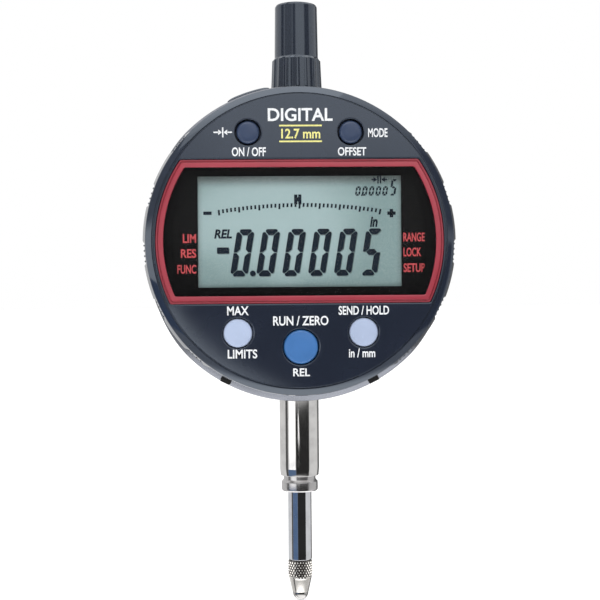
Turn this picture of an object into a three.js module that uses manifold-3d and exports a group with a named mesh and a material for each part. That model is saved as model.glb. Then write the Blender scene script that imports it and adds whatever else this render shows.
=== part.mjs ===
// Digital dial indicator: a round display unit that turns on a metal case, with a sprung spindle
// running through an 8 mm mounting stem. Millimetres, +Z up, viewer in front at -Y.
// The origin is on the spindle axis, at the lower end of the stem.
import * as THREE from "three";
import { mergeVertices } from "three/addons/utils/BufferGeometryUtils.js";
import Module from "manifold-3d";

const wasm = await Module();
wasm.setup();

// ---- Driving dimensions --------------------------------------------------------------------

const STEM_D = 8;
const SPINDLE_D = 4.8;
const HEAD_Z = 50; // height of the display unit's turning axis above the stem's end

const BACK_Y = 8; // outer face of the back cover
const CASE_BACK_Y = 6.5;
const CASE_FRONT_Y = -7.4;
const UNIT_BACK_Y = -7.7; // rear face of the turning display unit
const FACE_Y = -17.6;

const CASE_R = 31.4;
const CASE_SIDE_R = 30.6; // the case is smaller at the sides, to bare the grips
const CASE_WALL = 1.8;
const UNIT_R = 30.15;
const FACE_R = 28.1; // the flat of the face, inside its sloping rim
const WINDOW_R = 27.5;
const HUB_R = 9;
const STOP_R = 14; // the circle on which the stop pin runs

const WINDOW_TOP = 15.57; // window edges, from the head's centre
const WINDOW_BOTTOM = -11.95;
const LCD_WIDTH = 38.9;
const LCD_HEIGHT = 22.3;
const LCD_Z = 1.3;

const CAP_TOP_Z = 98.8;
const SEAT_Z = HEAD_Z + CASE_R; // where the cap sits on the case
const TIP_Z = -22.3;
const SHOULDER_Z = -14; // where the contact point meets the spindle
const BALL_R = 1.6;

const BATTERY_X = -17;
const BATTERY_Z = HEAD_Z - 4;
const BATTERY_CAP_R = 7;
const PORT_ANGLE = -18; // degrees from the top of the case to the data port

const GAP = 0.05; // between pieces that stay together
const PLAY = 0.08; // running clearance on the radius
const ROUND = 48; // sides of a large circle
const STEM_SIDES = 28;
const SMALL = 16; // sides of a small circle

// x and z are from the head's centre
const KEYS = [
  { name: "power", x: -9.76, z: 20.6, r: 2.15, hole: 2.5, colour: 0x4a5268 },
  { name: "origin", x: 9.76, z: 20.6, r: 2.15, hole: 2.5, colour: 0x4a5268 },
  { name: "peak", x: -11.96, z: -17.46, r: 2.72, hole: 2.95, colour: 0xc2d0ea },
  { name: "hold", x: 11.96, z: -17.46, r: 2.72, hole: 2.95, colour: 0xc2d0ea },
  { name: "zero", x: 0, z: -20.15, r: 3.25, hole: 3.5, colour: 0x537fbe },
];

// ---- Materials -----------------------------------------------------------------------------

const finish = (color, roughness, metalness = 0) =>
  new THREE.MeshStandardMaterial({ color, roughness, metalness });
const navyPlastic = finish(0x3c4456, 0.4);
const blackPlastic = finish(0x1c1c1e, 0.5);
const redPlastic = finish(0xc2475a, 0.3);
const clearPlastic = finish(0xe8eef0, 0.05);
const lcdGlass = finish(0x9fc0c6, 0.25);
const castAluminium = finish(0xb9bcc2, 0.35, 1);
const steel = finish(0xd9d9dc, 0.18, 1);
const brass = finish(0xc9a35a, 0.3, 1);
const carbide = finish(0x9a9aa0, 0.1, 1);
const rubber = finish(0x151517, 0.8);
const board = finish(0x1f6b46, 0.5);

// ---- Solids --------------------------------------------------------------------------------

// A closed geometry as a manifold-3d solid, turned right side out.
function solid(geometry) {
  const bare = geometry.index ? geometry.toNonIndexed() : geometry.clone();
  for (const name of Object.keys(bare.attributes)) if (name !== "position") bare.deleteAttribute(name);
  const merged = mergeVertices(bare, 1e-4);
  const vertProperties = merged.attributes.position.array;
  const triVerts = new Uint32Array(merged.index.array);
  const made = new wasm.Manifold(new wasm.Mesh({ numProp: 3, vertProperties, triVerts }));
  if (made.volume() >= 0) return made;
  triVerts.reverse();
  return new wasm.Manifold(new wasm.Mesh({ numProp: 3, vertProperties, triVerts }));
}

const join = (first, ...others) => others.reduce((sum, next) => sum.add(next), first);
const cut = (first, ...others) => others.reduce((sum, next) => sum.subtract(next), first);

function geometryOf(made) {
  const mesh = made.getMesh();
  const geometry = new THREE.BufferGeometry();
  geometry.setAttribute("position", new THREE.BufferAttribute(new Float32Array(mesh.vertProperties), 3));
  geometry.setIndex(new THREE.BufferAttribute(new Uint32Array(mesh.triVerts), 1));
  geometry.computeVertexNormals();
  return geometry;
}

// A box given by its lowest and highest corners.
function block([x0, y0, z0], [x1, y1, z1]) {
  const box = new THREE.BoxGeometry(x1 - x0, y1 - y0, z1 - z0);
  return solid(box.translate((x0 + x1) / 2, (y0 + y1) / 2, (z0 + z1) / 2));
}

const points = (list) => list.map(([r, h]) => new THREE.Vector2(r, h));

// A turned piece on the spindle axis: [radius, z] pairs.
function turned(profile, sides = SMALL) {
  return solid(new THREE.LatheGeometry(points(profile), sides).rotateX(Math.PI / 2));
}

// A turned piece on a front-to-back axis through (x, z): [radius, y] pairs.
function turnedY(profile, x = 0, z = HEAD_Z, sides = SMALL) {
  return solid(new THREE.LatheGeometry(points(profile), sides).translate(x, 0, z));
}

const rod = (r, low, high, sides) => turned([[0, low], [r, low], [r, high], [0, high]], sides);
const tube = (inner, outer, low, high, sides) =>
  turned([[inner, low], [outer, low], [outer, high], [inner, high], [inner, low]], sides);
const rodY = (r, low, high, x, z, sides) => turnedY([[0, low], [r, low], [r, high], [0, high]], x, z, sides);
const tubeY = (inner, outer, low, high, x, z, sides) =>
  turnedY([[inner, low], [outer, low], [outer, high], [inner, high], [inner, low]], x, z, sides);

// A flat outline in (x, z) from the head's centre, made solid between two y planes.
function slab(shape, low, high, curveSegments = 7) {
  const flat = new THREE.ExtrudeGeometry(shape, { depth: high - low, bevelEnabled: false, curveSegments });
  return solid(flat.rotateX(Math.PI / 2).translate(0, high, HEAD_Z));
}

// A piece made at the top of the head and then turned clockwise about the head's axis.
function atAngle(made, degrees) {
  return made.translate([0, 0, -HEAD_Z]).rotate([0, degrees, 0]).translate([0, 0, HEAD_Z]);
}

const group = new THREE.Group();
function add(name, made, material) {
  const mesh = new THREE.Mesh(geometryOf(made), material);
  mesh.name = name;
  group.add(mesh);
}

// ---- Outlines ------------------------------------------------------------------------------

const radians = THREE.MathUtils.degToRad;

// The window's outline, moved inwards: a circle cut by a top and a bottom chord.
function windowOutline(inset) {
  const r = WINDOW_R - inset;
  const topAngle = Math.asin((WINDOW_TOP - inset) / r);
  const bottomAngle = Math.asin((WINDOW_BOTTOM + inset) / r);
  const shape = new THREE.Shape();
  shape.absarc(0, 0, r, bottomAngle, topAngle, false);
  shape.absarc(0, 0, r, Math.PI - topAngle, Math.PI - bottomAngle, false);
  shape.closePath();
  return shape;
}

// The case from the front: a circle that steps in at both sides, where the grips are.
const CASE_STEP = 44; // degrees above and below the level line
function caseOutline(inset) {
  const shape = new THREE.Shape();
  const [corner, half] = [radians(CASE_STEP), Math.PI];
  shape.absarc(0, 0, CASE_R - inset, corner, half - corner, false);
  shape.absarc(0, 0, CASE_SIDE_R - inset, half - corner, half + corner, false);
  shape.absarc(0, 0, CASE_R - inset, half + corner, 2 * half - corner, false);
  shape.absarc(0, 0, CASE_SIDE_R - inset, -corner, corner, false);
  shape.closePath();
  return shape;
}

function rectangle(width, height, z = 0) {
  const shape = new THREE.Shape();
  shape.moveTo(-width / 2, z - height / 2);
  shape.lineTo(width / 2, z - height / 2);
  shape.lineTo(width / 2, z + height / 2);
  shape.lineTo(-width / 2, z + height / 2);
  shape.closePath();
  return shape;
}

// The display unit's rim: round, with shallow finger grips down both sides. Angles run
// clockwise from the top.
const GRIP = { first: 51, pitch: 21.5, count: 5, half: 4.4, depth: 0.3, slope: 0.6 };
function gripOutline() {
  const start = GRIP.first - GRIP.half;
  const end = GRIP.first + GRIP.pitch * (GRIP.count - 1) + GRIP.half;
  const floor = UNIT_R - GRIP.depth;
  const side = [];
  for (let i = 0; i < GRIP.count; i += 1) {
    const middle = GRIP.first + GRIP.pitch * i;
    side.push([middle - GRIP.half, UNIT_R], [middle - GRIP.half + GRIP.slope, floor]);
    side.push([middle + GRIP.half - GRIP.slope, floor], [middle + GRIP.half, UNIT_R]);
    if (i < GRIP.count - 1) side.push([middle + GRIP.pitch / 2, UNIT_R]);
  }
  const arc = (from, to) => {
    const steps = Math.round((to - from) / 7.5);
    return Array.from({ length: steps - 1 }, (_, i) => [from + ((to - from) * (i + 1)) / steps, UNIT_R]);
  };
  const mirrored = side.map(([angle, r]) => [360 - angle, r]).reverse();
  const rim = [...side, ...arc(end, 360 - end), ...mirrored, ...arc(360 - start, 360 + start)];
  const place = ([angle, r]) => {
    const turn = radians(angle);
    return new THREE.Vector2(r * Math.sin(turn), r * Math.cos(turn));
  };
  return new THREE.Shape(rim.map(place).reverse());
}

// ---- Display unit --------------------------------------------------------------------------

const RIM_BACK_Y = -9.4;
const WALL_BACK_Y = FACE_Y + 1.6;
const POCKET_Y = FACE_Y + 1.1;
const BOARD_FRONT_Y = -11.5;
const SCREW_R = 26;
const SCREW_ANGLES = [45, 135, 225, 315];
const onCircle = (r, angle) => [r * Math.sin(radians(angle)), HEAD_Z + r * Math.cos(radians(angle))];

function frontHousing() {
  const sideFront = FACE_Y + 3;
  const front = turnedY(
    [
      [0, sideFront],
      [UNIT_R, sideFront],
      [UNIT_R - 0.2, FACE_Y + 2.2],
      [UNIT_R - 0.45, FACE_Y + 1.5],
      [UNIT_R - 0.9, FACE_Y + 0.9],
      [FACE_R, FACE_Y],
      [0, FACE_Y],
    ],
    0,
    HEAD_Z,
    ROUND,
  );
  const side = slab(gripOutline(), sideFront - 0.1, RIM_BACK_Y);
  const inside = rodY(UNIT_R - 1.7, WALL_BACK_Y, RIM_BACK_Y + 1, 0, HEAD_Z, ROUND);
  const bosses = SCREW_ANGLES.map((angle) => {
    const [x, z] = onCircle(SCREW_R, angle);
    return rodY(2.4, WALL_BACK_Y - 0.2, RIM_BACK_Y, x, z, 12);
  });
  const pilots = SCREW_ANGLES.map((angle) => {
    const [x, z] = onCircle(SCREW_R, angle);
    return rodY(0.8, -13, RIM_BACK_Y + 1, x, z, 8);
  });
  const pocket = slab(windowOutline(0), FACE_Y - 1, POCKET_Y);
  const opening = slab(windowOutline(2.8), FACE_Y, WALL_BACK_Y + 1);
  const holes = KEYS.map((key) => rodY(key.hole, FACE_Y - 1, WALL_BACK_Y + 1, key.x, HEAD_Z + key.z));
  const shell = join(cut(join(front, side), inside), ...bosses);
  return cut(shell, pocket, opening, ...holes, ...pilots);
}

// The red frame round the window, sloped on its outer edge.
const FRAME_GAP = 0.07; // between the frame and the pocket it lies in
const FRAME_WIDTH = 1.45;
function windowFrame() {
  const skirt = slab(windowOutline(FRAME_GAP), FACE_Y + 0.5, POCKET_Y);
  const top = slab(windowOutline(FRAME_GAP + 0.3), FACE_Y + 0.2, POCKET_Y);
  return cut(join(skirt, top), slab(windowOutline(FRAME_GAP + FRAME_WIDTH), FACE_Y - 1, POCKET_Y + 1));
}

const windowLens = () => slab(windowOutline(FRAME_GAP + FRAME_WIDTH + GAP), FACE_Y + 0.3, POCKET_Y);

function displayMask() {
  const sheet = slab(windowOutline(1.6), -15.95, -15.75);
  return cut(sheet, slab(rectangle(LCD_WIDTH, LCD_HEIGHT, LCD_Z), -17, -15));
}

const lcdPanel = () => slab(rectangle(42, 26, LCD_Z), -15.7, -14.1);

function lcdHolder() {
  const outer = slab(rectangle(45, 29, LCD_Z), -15.7, BOARD_FRONT_Y - GAP);
  return cut(outer, slab(rectangle(42.2, 26.2, LCD_Z), -17, -11));
}

const zebraStrip = (side) =>
  slab(rectangle(38, 2, LCD_Z + side * 11.5), -14.1 + GAP, BOARD_FRONT_Y - GAP);

function displayBoard() {
  const disc = rodY(27.6, BOARD_FRONT_Y, BOARD_FRONT_Y + 1, 0, HEAD_Z, ROUND);
  const notches = SCREW_ANGLES.map((angle) => {
    const [x, z] = onCircle(SCREW_R + 0.6, angle);
    return rodY(3.4, -14, -8, x, z, 12);
  });
  return cut(disc, ...notches);
}

const processorChip = () => block([-5, -10.45, HEAD_Z + 4], [5, -9.2, HEAD_Z + 14]);

const keySwitch = (key) =>
  turnedY(
    [[0, BOARD_FRONT_Y - GAP], [2.2, BOARD_FRONT_Y - GAP], [2.2, -11.9], [1.5, -12.3], [0, -12.3]],
    key.x,
    HEAD_Z + key.z,
    12,
  );

// A key: a domed cap, a flange behind the face that keeps it in, and a plunger over its switch.
const keyCap = (key) =>
  turnedY(
    [
      [0, FACE_Y - 0.3],
      [key.r * 0.6, FACE_Y - 0.25],
      [key.r - 0.25, FACE_Y - 0.1],
      [key.r, FACE_Y + 0.25],
      [key.r, WALL_BACK_Y + 0.6],
      [key.r + 0.6, WALL_BACK_Y + 0.6],
      [key.r + 0.6, WALL_BACK_Y + 1.2],
      [1.1, WALL_BACK_Y + 1.2],
      [1.1, -12.95],
      [0, -12.95],
    ],
    key.x,
    HEAD_Z + key.z,
  );

// The rear of the display unit: a plate with the hollow hub that it turns on, and a groove for
// the stop pin, bridged where the turn ends.
const STOP_BRIDGE_HALF = 12.3; // degrees
const SEAT_Y = UNIT_BACK_Y - 0.8; // under the screw heads, and the floor of the groove
const HUB_END_Y = -4.9;
const RING_Y = [CASE_FRONT_Y + CASE_WALL, HUB_END_Y - 0.2];
function displayBack() {
  const plate = rodY(UNIT_R - 0.5, RIM_BACK_Y + 0.3, UNIT_BACK_Y, 0, HEAD_Z, ROUND);
  const hub = rodY(HUB_R, UNIT_BACK_Y - 0.2, HUB_END_Y, 0, HEAD_Z, STEM_SIDES);
  const bore = rodY(6.5, RIM_BACK_Y, 0, 0, HEAD_Z, SMALL);
  const ringGroove = tubeY(HUB_R - 0.7, HUB_R + 1, RING_Y[0], RING_Y[1], 0, HEAD_Z, STEM_SIDES);
  const groove = tubeY(STOP_R - 0.8, STOP_R + 0.8, SEAT_Y, 0, 0, HEAD_Z, STEM_SIDES);
  const reach = 20 * Math.tan(radians(STOP_BRIDGE_HALF));
  const corners = [[0, 0], [reach, 20], [-reach, 20]];
  const bridge = new THREE.Shape(corners.map(([x, z]) => new THREE.Vector2(x, z)));
  const holes = SCREW_ANGLES.map((angle) => {
    const [x, z] = onCircle(SCREW_R, angle);
    return join(rodY(1.1, RIM_BACK_Y, 0, x, z, 12), rodY(2.1, SEAT_Y, 0, x, z, 12));
  });
  return cut(join(plate, hub), bore, ringGroove, cut(groove, slab(bridge, -9, 0)), ...holes);
}

function displayScrew(angle) {
  const [x, z] = onCircle(SCREW_R, angle);
  const head = SEAT_Y + GAP;
  const end = head + 0.6;
  const profile = [[0, -12.5], [0.7, -12.5], [0.7, head], [1.9, head], [1.9, end], [0, end]];
  return turnedY(profile, x, z, 12);
}

const displaySeal = () =>
  tubeY(UNIT_R - 1.6, UNIT_R - 0.7, RIM_BACK_Y + GAP, RIM_BACK_Y + 0.3 - GAP, 0, HEAD_Z, ROUND);

// A split ring in the hub's groove keeps the display unit on the case.
function retainingRing() {
  const ring = tubeY(HUB_R - 0.6, HUB_R + 1.4, RING_Y[0] + GAP, RING_Y[1] - GAP, 0, HEAD_Z, STEM_SIDES);
  return cut(ring, block([-1.5, -7, HEAD_Z + 5], [1.5, -3, HEAD_Z + 12]));
}

// A ribbon from the display board, bent back into the hollow hub.
function signalRibbon() {
  const onBoard = block([-3.5, -10.45, HEAD_Z - 6], [3.5, -10.15, HEAD_Z - 1.7]);
  return join(onBoard, block([-3.5, -10.3, HEAD_Z - 2], [3.5, HUB_END_Y, HEAD_Z - 1.7]));
}

// ---- Case ----------------------------------------------------------------------------------

const COVER_SCREWS = [[-21, 17], [21, 17], [-21, -17], [21, -17]];
const STEM_TOP_Z = 27;
const GUIDE_Z = [73, 90];
const PIN_POCKET_Z = HEAD_Z - STOP_R;

function mainCase() {
  const wallBack = CASE_FRONT_Y + CASE_WALL;
  const shell = slab(caseOutline(0), CASE_FRONT_Y, CASE_BACK_Y);
  const inside = slab(caseOutline(CASE_WALL), wallBack, CASE_BACK_Y + 1);
  const boss = (low, high, r) => join(rod(r, low, high), block([-3.5, wallBack - 0.1, low], [3.5, 0, high]));
  const stemBoss = boss(19.5, STEM_TOP_Z - 0.5, 5.5);
  const guideBoss = boss(73.5, 80.5, 5.5);
  const posts = COVER_SCREWS.map(([x, z]) => rodY(2.6, wallBack - 0.1, CASE_BACK_Y, x, HEAD_Z + z, 12));
  const pilots = COVER_SCREWS.map(([x, z]) => rodY(1.05, 0, 9, x, HEAD_Z + z, 8));
  const hubBore = rodY(HUB_R + PLAY, -9, -3, 0, HEAD_Z, STEM_SIDES);
  const stemBore = rod(STEM_D / 2 + 0.02, 10, STEM_TOP_Z + 1, STEM_SIDES);
  const guideBore = rod(3.5 + 0.02, 70, 90);
  const portSlot = atAngle(block([-3.5, -2, HEAD_Z + 24], [3.5, 4, HEAD_Z + 40]), PORT_ANGLE);
  const portSeat = atAngle(block([-4.5, -3.5, HEAD_Z + 31], [4.5, 5.5, HEAD_Z + 40]), PORT_ANGLE);
  const plugSlots = [-1, 1].map((side) => plugShape(side, 0));
  const pinHole = rodY(0.62, -9, -3, 0, PIN_POCKET_Z, 12);
  const body = join(cut(shell, inside), stemBoss, guideBoss, ...posts);
  return cut(body, hubBore, stemBore, guideBore, portSlot, portSeat, ...plugSlots, ...pilots, pinHole);
}

// The dark plugs let into the case's rim, either side of the stem.
const PLUG_ANGLE = 28.4;
const plugShape = (side, gap) =>
  atAngle(
    block(
      [-1.1 + gap, CASE_FRONT_Y - 1, HEAD_Z + CASE_R - 1 + gap],
      [1.1 - gap, -1 - gap, HEAD_Z + CASE_R + 1],
    ),
    180 + side * PLUG_ANGLE,
  );
const rimPlug = (side) =>
  plugShape(side, GAP).intersect(rodY(CASE_R - 0.05, CASE_FRONT_Y, 9, 0, HEAD_Z, ROUND));

function backCover() {
  const plate = slab(caseOutline(0.4), CASE_BACK_Y + 0.25, BACK_Y);
  const holes = COVER_SCREWS.map(([x, z]) =>
    join(rodY(1.3, 5, 9, x, HEAD_Z + z, 12), rodY(2.3, BACK_Y - 0.8, 9, x, HEAD_Z + z, 12)),
  );
  const batteryHole = join(
    rodY(BATTERY_CAP_R + 0.1, BACK_Y - 1, 9, BATTERY_X, BATTERY_Z, STEM_SIDES),
    rodY(BATTERY_CAP_R - 0.9, 5, 9, BATTERY_X, BATTERY_Z, STEM_SIDES),
  );
  return cut(plate, ...holes, batteryHole);
}

function backGasket() {
  const outer = slab(caseOutline(0.5), CASE_BACK_Y + 0.03, CASE_BACK_Y + 0.22);
  return cut(outer, slab(caseOutline(1.5), 5, 8));
}

function coverScrew([x, z]) {
  const head = turnedY(
    [[0, 1], [0.9, 1], [0.9, BACK_Y - 0.75], [2.1, BACK_Y - 0.75], [2.1, BACK_Y - 0.15], [0, BACK_Y - 0.15]],
    x,
    HEAD_Z + z,
    12,
  );
  const slots = [
    block([x - 1.1, BACK_Y - 0.5, HEAD_Z + z - 0.2], [x + 1.1, 9, HEAD_Z + z + 0.2]),
    block([x - 0.2, BACK_Y - 0.5, HEAD_Z + z - 1.1], [x + 0.2, 9, HEAD_Z + z + 1.1]),
  ];
  return cut(head, ...slots);
}

function batteryCap() {
  const cap = turnedY(
    [
      [0, BACK_Y - 1.6],
      [5.9, BACK_Y - 1.6],
      [5.9, BACK_Y - 0.95],
      [BATTERY_CAP_R, BACK_Y - 0.95],
      [BATTERY_CAP_R, BACK_Y - 0.3],
      [BATTERY_CAP_R - 0.25, BACK_Y - 0.05],
      [0, BACK_Y - 0.05],
    ],
    BATTERY_X,
    BATTERY_Z,
    STEM_SIDES,
  );
  const coinSlot = block(
    [BATTERY_X - 5, BACK_Y - 0.7, BATTERY_Z - 0.7],
    [BATTERY_X + 5, 9, BATTERY_Z + 0.7],
  );
  return cut(cap, coinSlot);
}

const battery = () =>
  turnedY(
    [[0, 0.6], [5, 0.6], [5, 0.9], [5.8, 0.9], [5.8, 5.8], [5.5, 6], [0, 6]],
    BATTERY_X,
    BATTERY_Z,
  );

const batteryHolder = () =>
  cut(
    rodY(7.1, -5.5, 5.6, BATTERY_X, BATTERY_Z),
    rodY(5.9, -0.2, 9, BATTERY_X, BATTERY_Z),
  );

const batteryContact = () =>
  join(
    block([BATTERY_X - 4, -0.15, BATTERY_Z - 1.2], [BATTERY_X + 4, 0.1, BATTERY_Z + 1.2]),
    block([BATTERY_X - 1, 0.05, BATTERY_Z - 1.2], [BATTERY_X + 1, 0.5, BATTERY_Z + 1.2]),
  );

// The mounting stem, tapered at its end to enter a clamp.
function stem() {
  const r = STEM_D / 2;
  return turned(
    [[3.3, 3.15], [r - 0.12, 3.15], [r, 4.6], [r, STEM_TOP_Z - 0.4], [3.3, STEM_TOP_Z - 0.4], [3.3, 3.15]],
    STEM_SIDES,
  );
}

// The ring screwed into the stem's end, which holds the lower bush.
function stemEndRing() {
  return turned(
    [
      [2.55, 0],
      [3.45, 0],
      [3.7, 0.25],
      [3.7, 1.85],
      [3.45, 2.1],
      [3.25, 2.35],
      [3.25, 5],
      [2.55, 5],
      [2.55, 0],
    ],
    STEM_SIDES,
  );
}

const lowerBush = () => tube(SPINDLE_D / 2 + PLAY, 3.25, 5.1, 15);
const upperBush = () => tube(SPINDLE_D / 2 + PLAY, 2.95, GUIDE_Z[0] + 0.2, 79.5);

function guideTube() {
  const [low, high] = GUIDE_Z;
  return turned([[3, low], [3.5, low], [3.5, high - 0.4], [3.2, high], [3, high], [3, low]]);
}

const stopPin = () => rodY(0.6, SEAT_Y + 0.1, CASE_FRONT_Y + CASE_WALL - GAP, 0, PIN_POCKET_Z, 12);

// A compression spring round the spindle, with its ends on the collar and the upper bush.
const SPRING = { low: 50.5, high: 72.9, r: 3.5, wire: 0.25, turns: 8 };
function returnSpring() {
  class Helix extends THREE.Curve {
    getPoint(t, target = new THREE.Vector3()) {
      const angle = t * SPRING.turns * 2 * Math.PI;
      const height = SPRING.high - SPRING.low - 2 * SPRING.wire;
      const z = SPRING.low + SPRING.wire + height * t;
      return target.set(SPRING.r * Math.cos(angle), SPRING.r * Math.sin(angle), z);
    }
  }
  const section = new THREE.Shape();
  section.absarc(0, 0, SPRING.wire, 0, 2 * Math.PI);
  const steps = SPRING.turns * 10;
  return solid(
    new THREE.ExtrudeGeometry(section, { steps, curveSegments: 3, extrudePath: new Helix() }),
  );
}

// A slotted rail that keeps the spindle from turning.
function guideRail() {
  const bar = block([-9.2, -3, HEAD_Z - 17], [-6.2, 3, HEAD_Z + 17]);
  return cut(bar, block([-10, -0.9, HEAD_Z - 14], [-5, 0.9, HEAD_Z + 14]));
}

const detectorBoard = () => block([11.2, -4.2, HEAD_Z - 20], [12.4, 5.8, HEAD_Z + 20]);
const pickupHead = () => block([9, -3.4, HEAD_Z - 4], [11.15, 3.4, HEAD_Z + 10]);

const dataConnector = () =>
  atAngle(
    cut(
      block([-3.4, -1.9, HEAD_Z + 25], [3.4, 3.9, HEAD_Z + 30.9]),
      block([-2.7, -0.6, HEAD_Z + 27], [2.7, 2.6, HEAD_Z + 32]),
    ),
    PORT_ANGLE,
  );

const portCover = () =>
  atAngle(block([-4.4, -3.4, HEAD_Z + 31.05], [4.4, 5.4, HEAD_Z + 32.3]), PORT_ANGLE);

// ---- Spindle -------------------------------------------------------------------------------

function spindle() {
  const r = SPINDLE_D / 2;
  const body = turned([
    [0, SHOULDER_Z],
    [r - 0.1, SHOULDER_Z],
    [r, SHOULDER_Z + 0.1],
    [r, 83.8],
    [r - 0.3, 84.1],
    [0, 84.1],
  ]);
  return cut(body, rod(1.3, SHOULDER_Z - 1, -8.5, 12));
}

// The contact point: a threaded spigot, a knurled grip and a taper down to the ball.
const CONTACT = { r: 2.5, knurlEnd: -17.6, taperEnd: -20.6, taperR: 1.65 };
function contactPoint() {
  const body = turned([
    [0, -9],
    [1.2, -9],
    [1.2, SHOULDER_Z - 0.05],
    [CONTACT.r, SHOULDER_Z - 0.05],
    [CONTACT.r, CONTACT.knurlEnd],
    [CONTACT.r - 0.35, CONTACT.knurlEnd - 0.5],
    [CONTACT.taperR, CONTACT.taperEnd],
    [0, CONTACT.taperEnd],
  ]);
  return cut(body, contactSphere(BALL_R + 0.03));
}

const contactSphere = (r) =>
  solid(new THREE.SphereGeometry(r, 16, 10).rotateX(Math.PI / 2).translate(0, 0, TIP_Z + BALL_R));
const contactBall = () => contactSphere(BALL_R);

// The clamp on the spindle that carries the scale and pushes on the spring.
function scaleBracket() {
  const collar = rod(4.2, HEAD_Z - 10, HEAD_Z + 0.4);
  const clamp = join(collar, block([0, -2.5, HEAD_Z - 10], [7.2, 2.5, HEAD_Z - 3]));
  return cut(clamp, rod(SPINDLE_D / 2 + 0.02, 30, 60), rodX(0.8, -6, 0, HEAD_Z - 6.5));
}

function rodX(r, low, high, z) {
  const shaft = new THREE.CylinderGeometry(r, r, high - low, 12).rotateZ(Math.PI / 2);
  return solid(shaft.translate((low + high) / 2, 0, z));
}

const guidePin = () => rodX(0.75, -8.8, -2.55, HEAD_Z - 6.5);
const linearScale = () => block([7.25, -3, HEAD_Z - 18], [8.4, 3, HEAD_Z + 12]);

// ---- Spindle cap ---------------------------------------------------------------------------

const CAP = { base: 5.15, shoulder: 4.9, neck: 4.42, top: 4.25, shoulderZ: 87.4, flutes: 16 };

// A fluted collar with a plain upper part, hollow so that the spindle can rise inside it.
function spindleCap() {
  const outer = turned(
    [
      [0, SEAT_Z + 0.2],
      [CAP.base, SEAT_Z + 0.2],
      [CAP.shoulder, CAP.shoulderZ],
      [CAP.neck, CAP.shoulderZ + 0.5],
      [CAP.top, CAP_TOP_Z - 0.6],
      [CAP.top - 0.2, CAP_TOP_Z - 0.18],
      [CAP.top - 0.6, CAP_TOP_Z],
      [0, CAP_TOP_Z],
    ],
    STEM_SIDES,
  );
  const flutes = Array.from({ length: CAP.flutes }, (_, i) => {
    const angle = ((i + 0.5) / CAP.flutes) * 2 * Math.PI;
    const groove = new THREE.CylinderGeometry(0.7, 0.7, 5, 6).rotateX(Math.PI / 2);
    return solid(groove.translate(5.55 * Math.cos(angle), 5.55 * Math.sin(angle), SEAT_Z + 2.6));
  });
  const hollow = turned([[0, 70], [3.65, 70], [3.65, 90.3], [3.2, 90.8], [3.2, 97.5], [0, 97.5]]);
  return cut(outer, hollow, ...flutes);
}

// ---- Assembly ------------------------------------------------------------------------------

add("front_housing", frontHousing(), navyPlastic);
add("window_frame", windowFrame(), redPlastic);
add("window_lens", windowLens(), clearPlastic);
add("display_mask", displayMask(), blackPlastic);
add("lcd_panel", lcdPanel(), lcdGlass);
add("lcd_holder", lcdHolder(), blackPlastic);
add("zebra_strip_upper", zebraStrip(1), rubber);
add("zebra_strip_lower", zebraStrip(-1), rubber);
add("display_board", displayBoard(), board);
add("processor_chip", processorChip(), blackPlastic);
for (const key of KEYS) {
  add(key.name + "_switch", keySwitch(key), steel);
  add(key.name + "_key", keyCap(key), finish(key.colour, 0.4));
}
add("display_back", displayBack(), blackPlastic);
SCREW_ANGLES.forEach((angle, i) => add("display_screw_" + (i + 1), displayScrew(angle), steel));
add("display_seal", displaySeal(), rubber);
add("retaining_ring", retainingRing(), steel);
add("signal_ribbon", signalRibbon(), brass);

add("main_case", mainCase(), navyPlastic);
add("rim_plug_left", rimPlug(1), rubber);
add("rim_plug_right", rimPlug(-1), rubber);
add("back_gasket", backGasket(), rubber);
add("back_cover", backCover(), castAluminium);
COVER_SCREWS.forEach((place, i) => add("cover_screw_" + (i + 1), coverScrew(place), steel));
add("battery_holder", batteryHolder(), blackPlastic);
add("battery_contact", batteryContact(), brass);
add("battery_cell", battery(), steel);
add("battery_cap", batteryCap(), blackPlastic);
add("stem", stem(), steel);
add("stem_end_ring", stemEndRing(), steel);
add("lower_bush", lowerBush(), brass);
add("upper_bush", upperBush(), brass);
add("guide_tube", guideTube(), steel);
add("stop_pin", stopPin(), steel);
add("return_spring", returnSpring(), steel);
add("guide_rail", guideRail(), brass);
add("detector_board", detectorBoard(), board);
add("pickup_head", pickupHead(), blackPlastic);
add("data_connector", dataConnector(), blackPlastic);
add("port_cover", portCover(), blackPlastic);

add("spindle", spindle(), steel);
add("contact_point", contactPoint(), steel);
add("contact_ball", contactBall(), carbide);
add("scale_bracket", scaleBracket(), brass);
add("guide_pin", guidePin(), steel);
add("linear_scale", linearScale(), lcdGlass);

add("spindle_cap", spindleCap(), navyPlastic);

export default group;
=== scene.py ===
# %% [markdown]
# # Dressing a digital dial indicator
# A digital indicator measures how far its sprung spindle moves. The mechanical model is finished and
# fixed: this lesson loads it as a frame, and then gives every visible piece its true shape and
# finish. Sizes are in millimetres while a piece is made, and in metres once it is in the scene.

import math

import bmesh
import bpy
from mathutils import Matrix, Vector
from mathutils.geometry import tessellate_polygon


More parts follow.
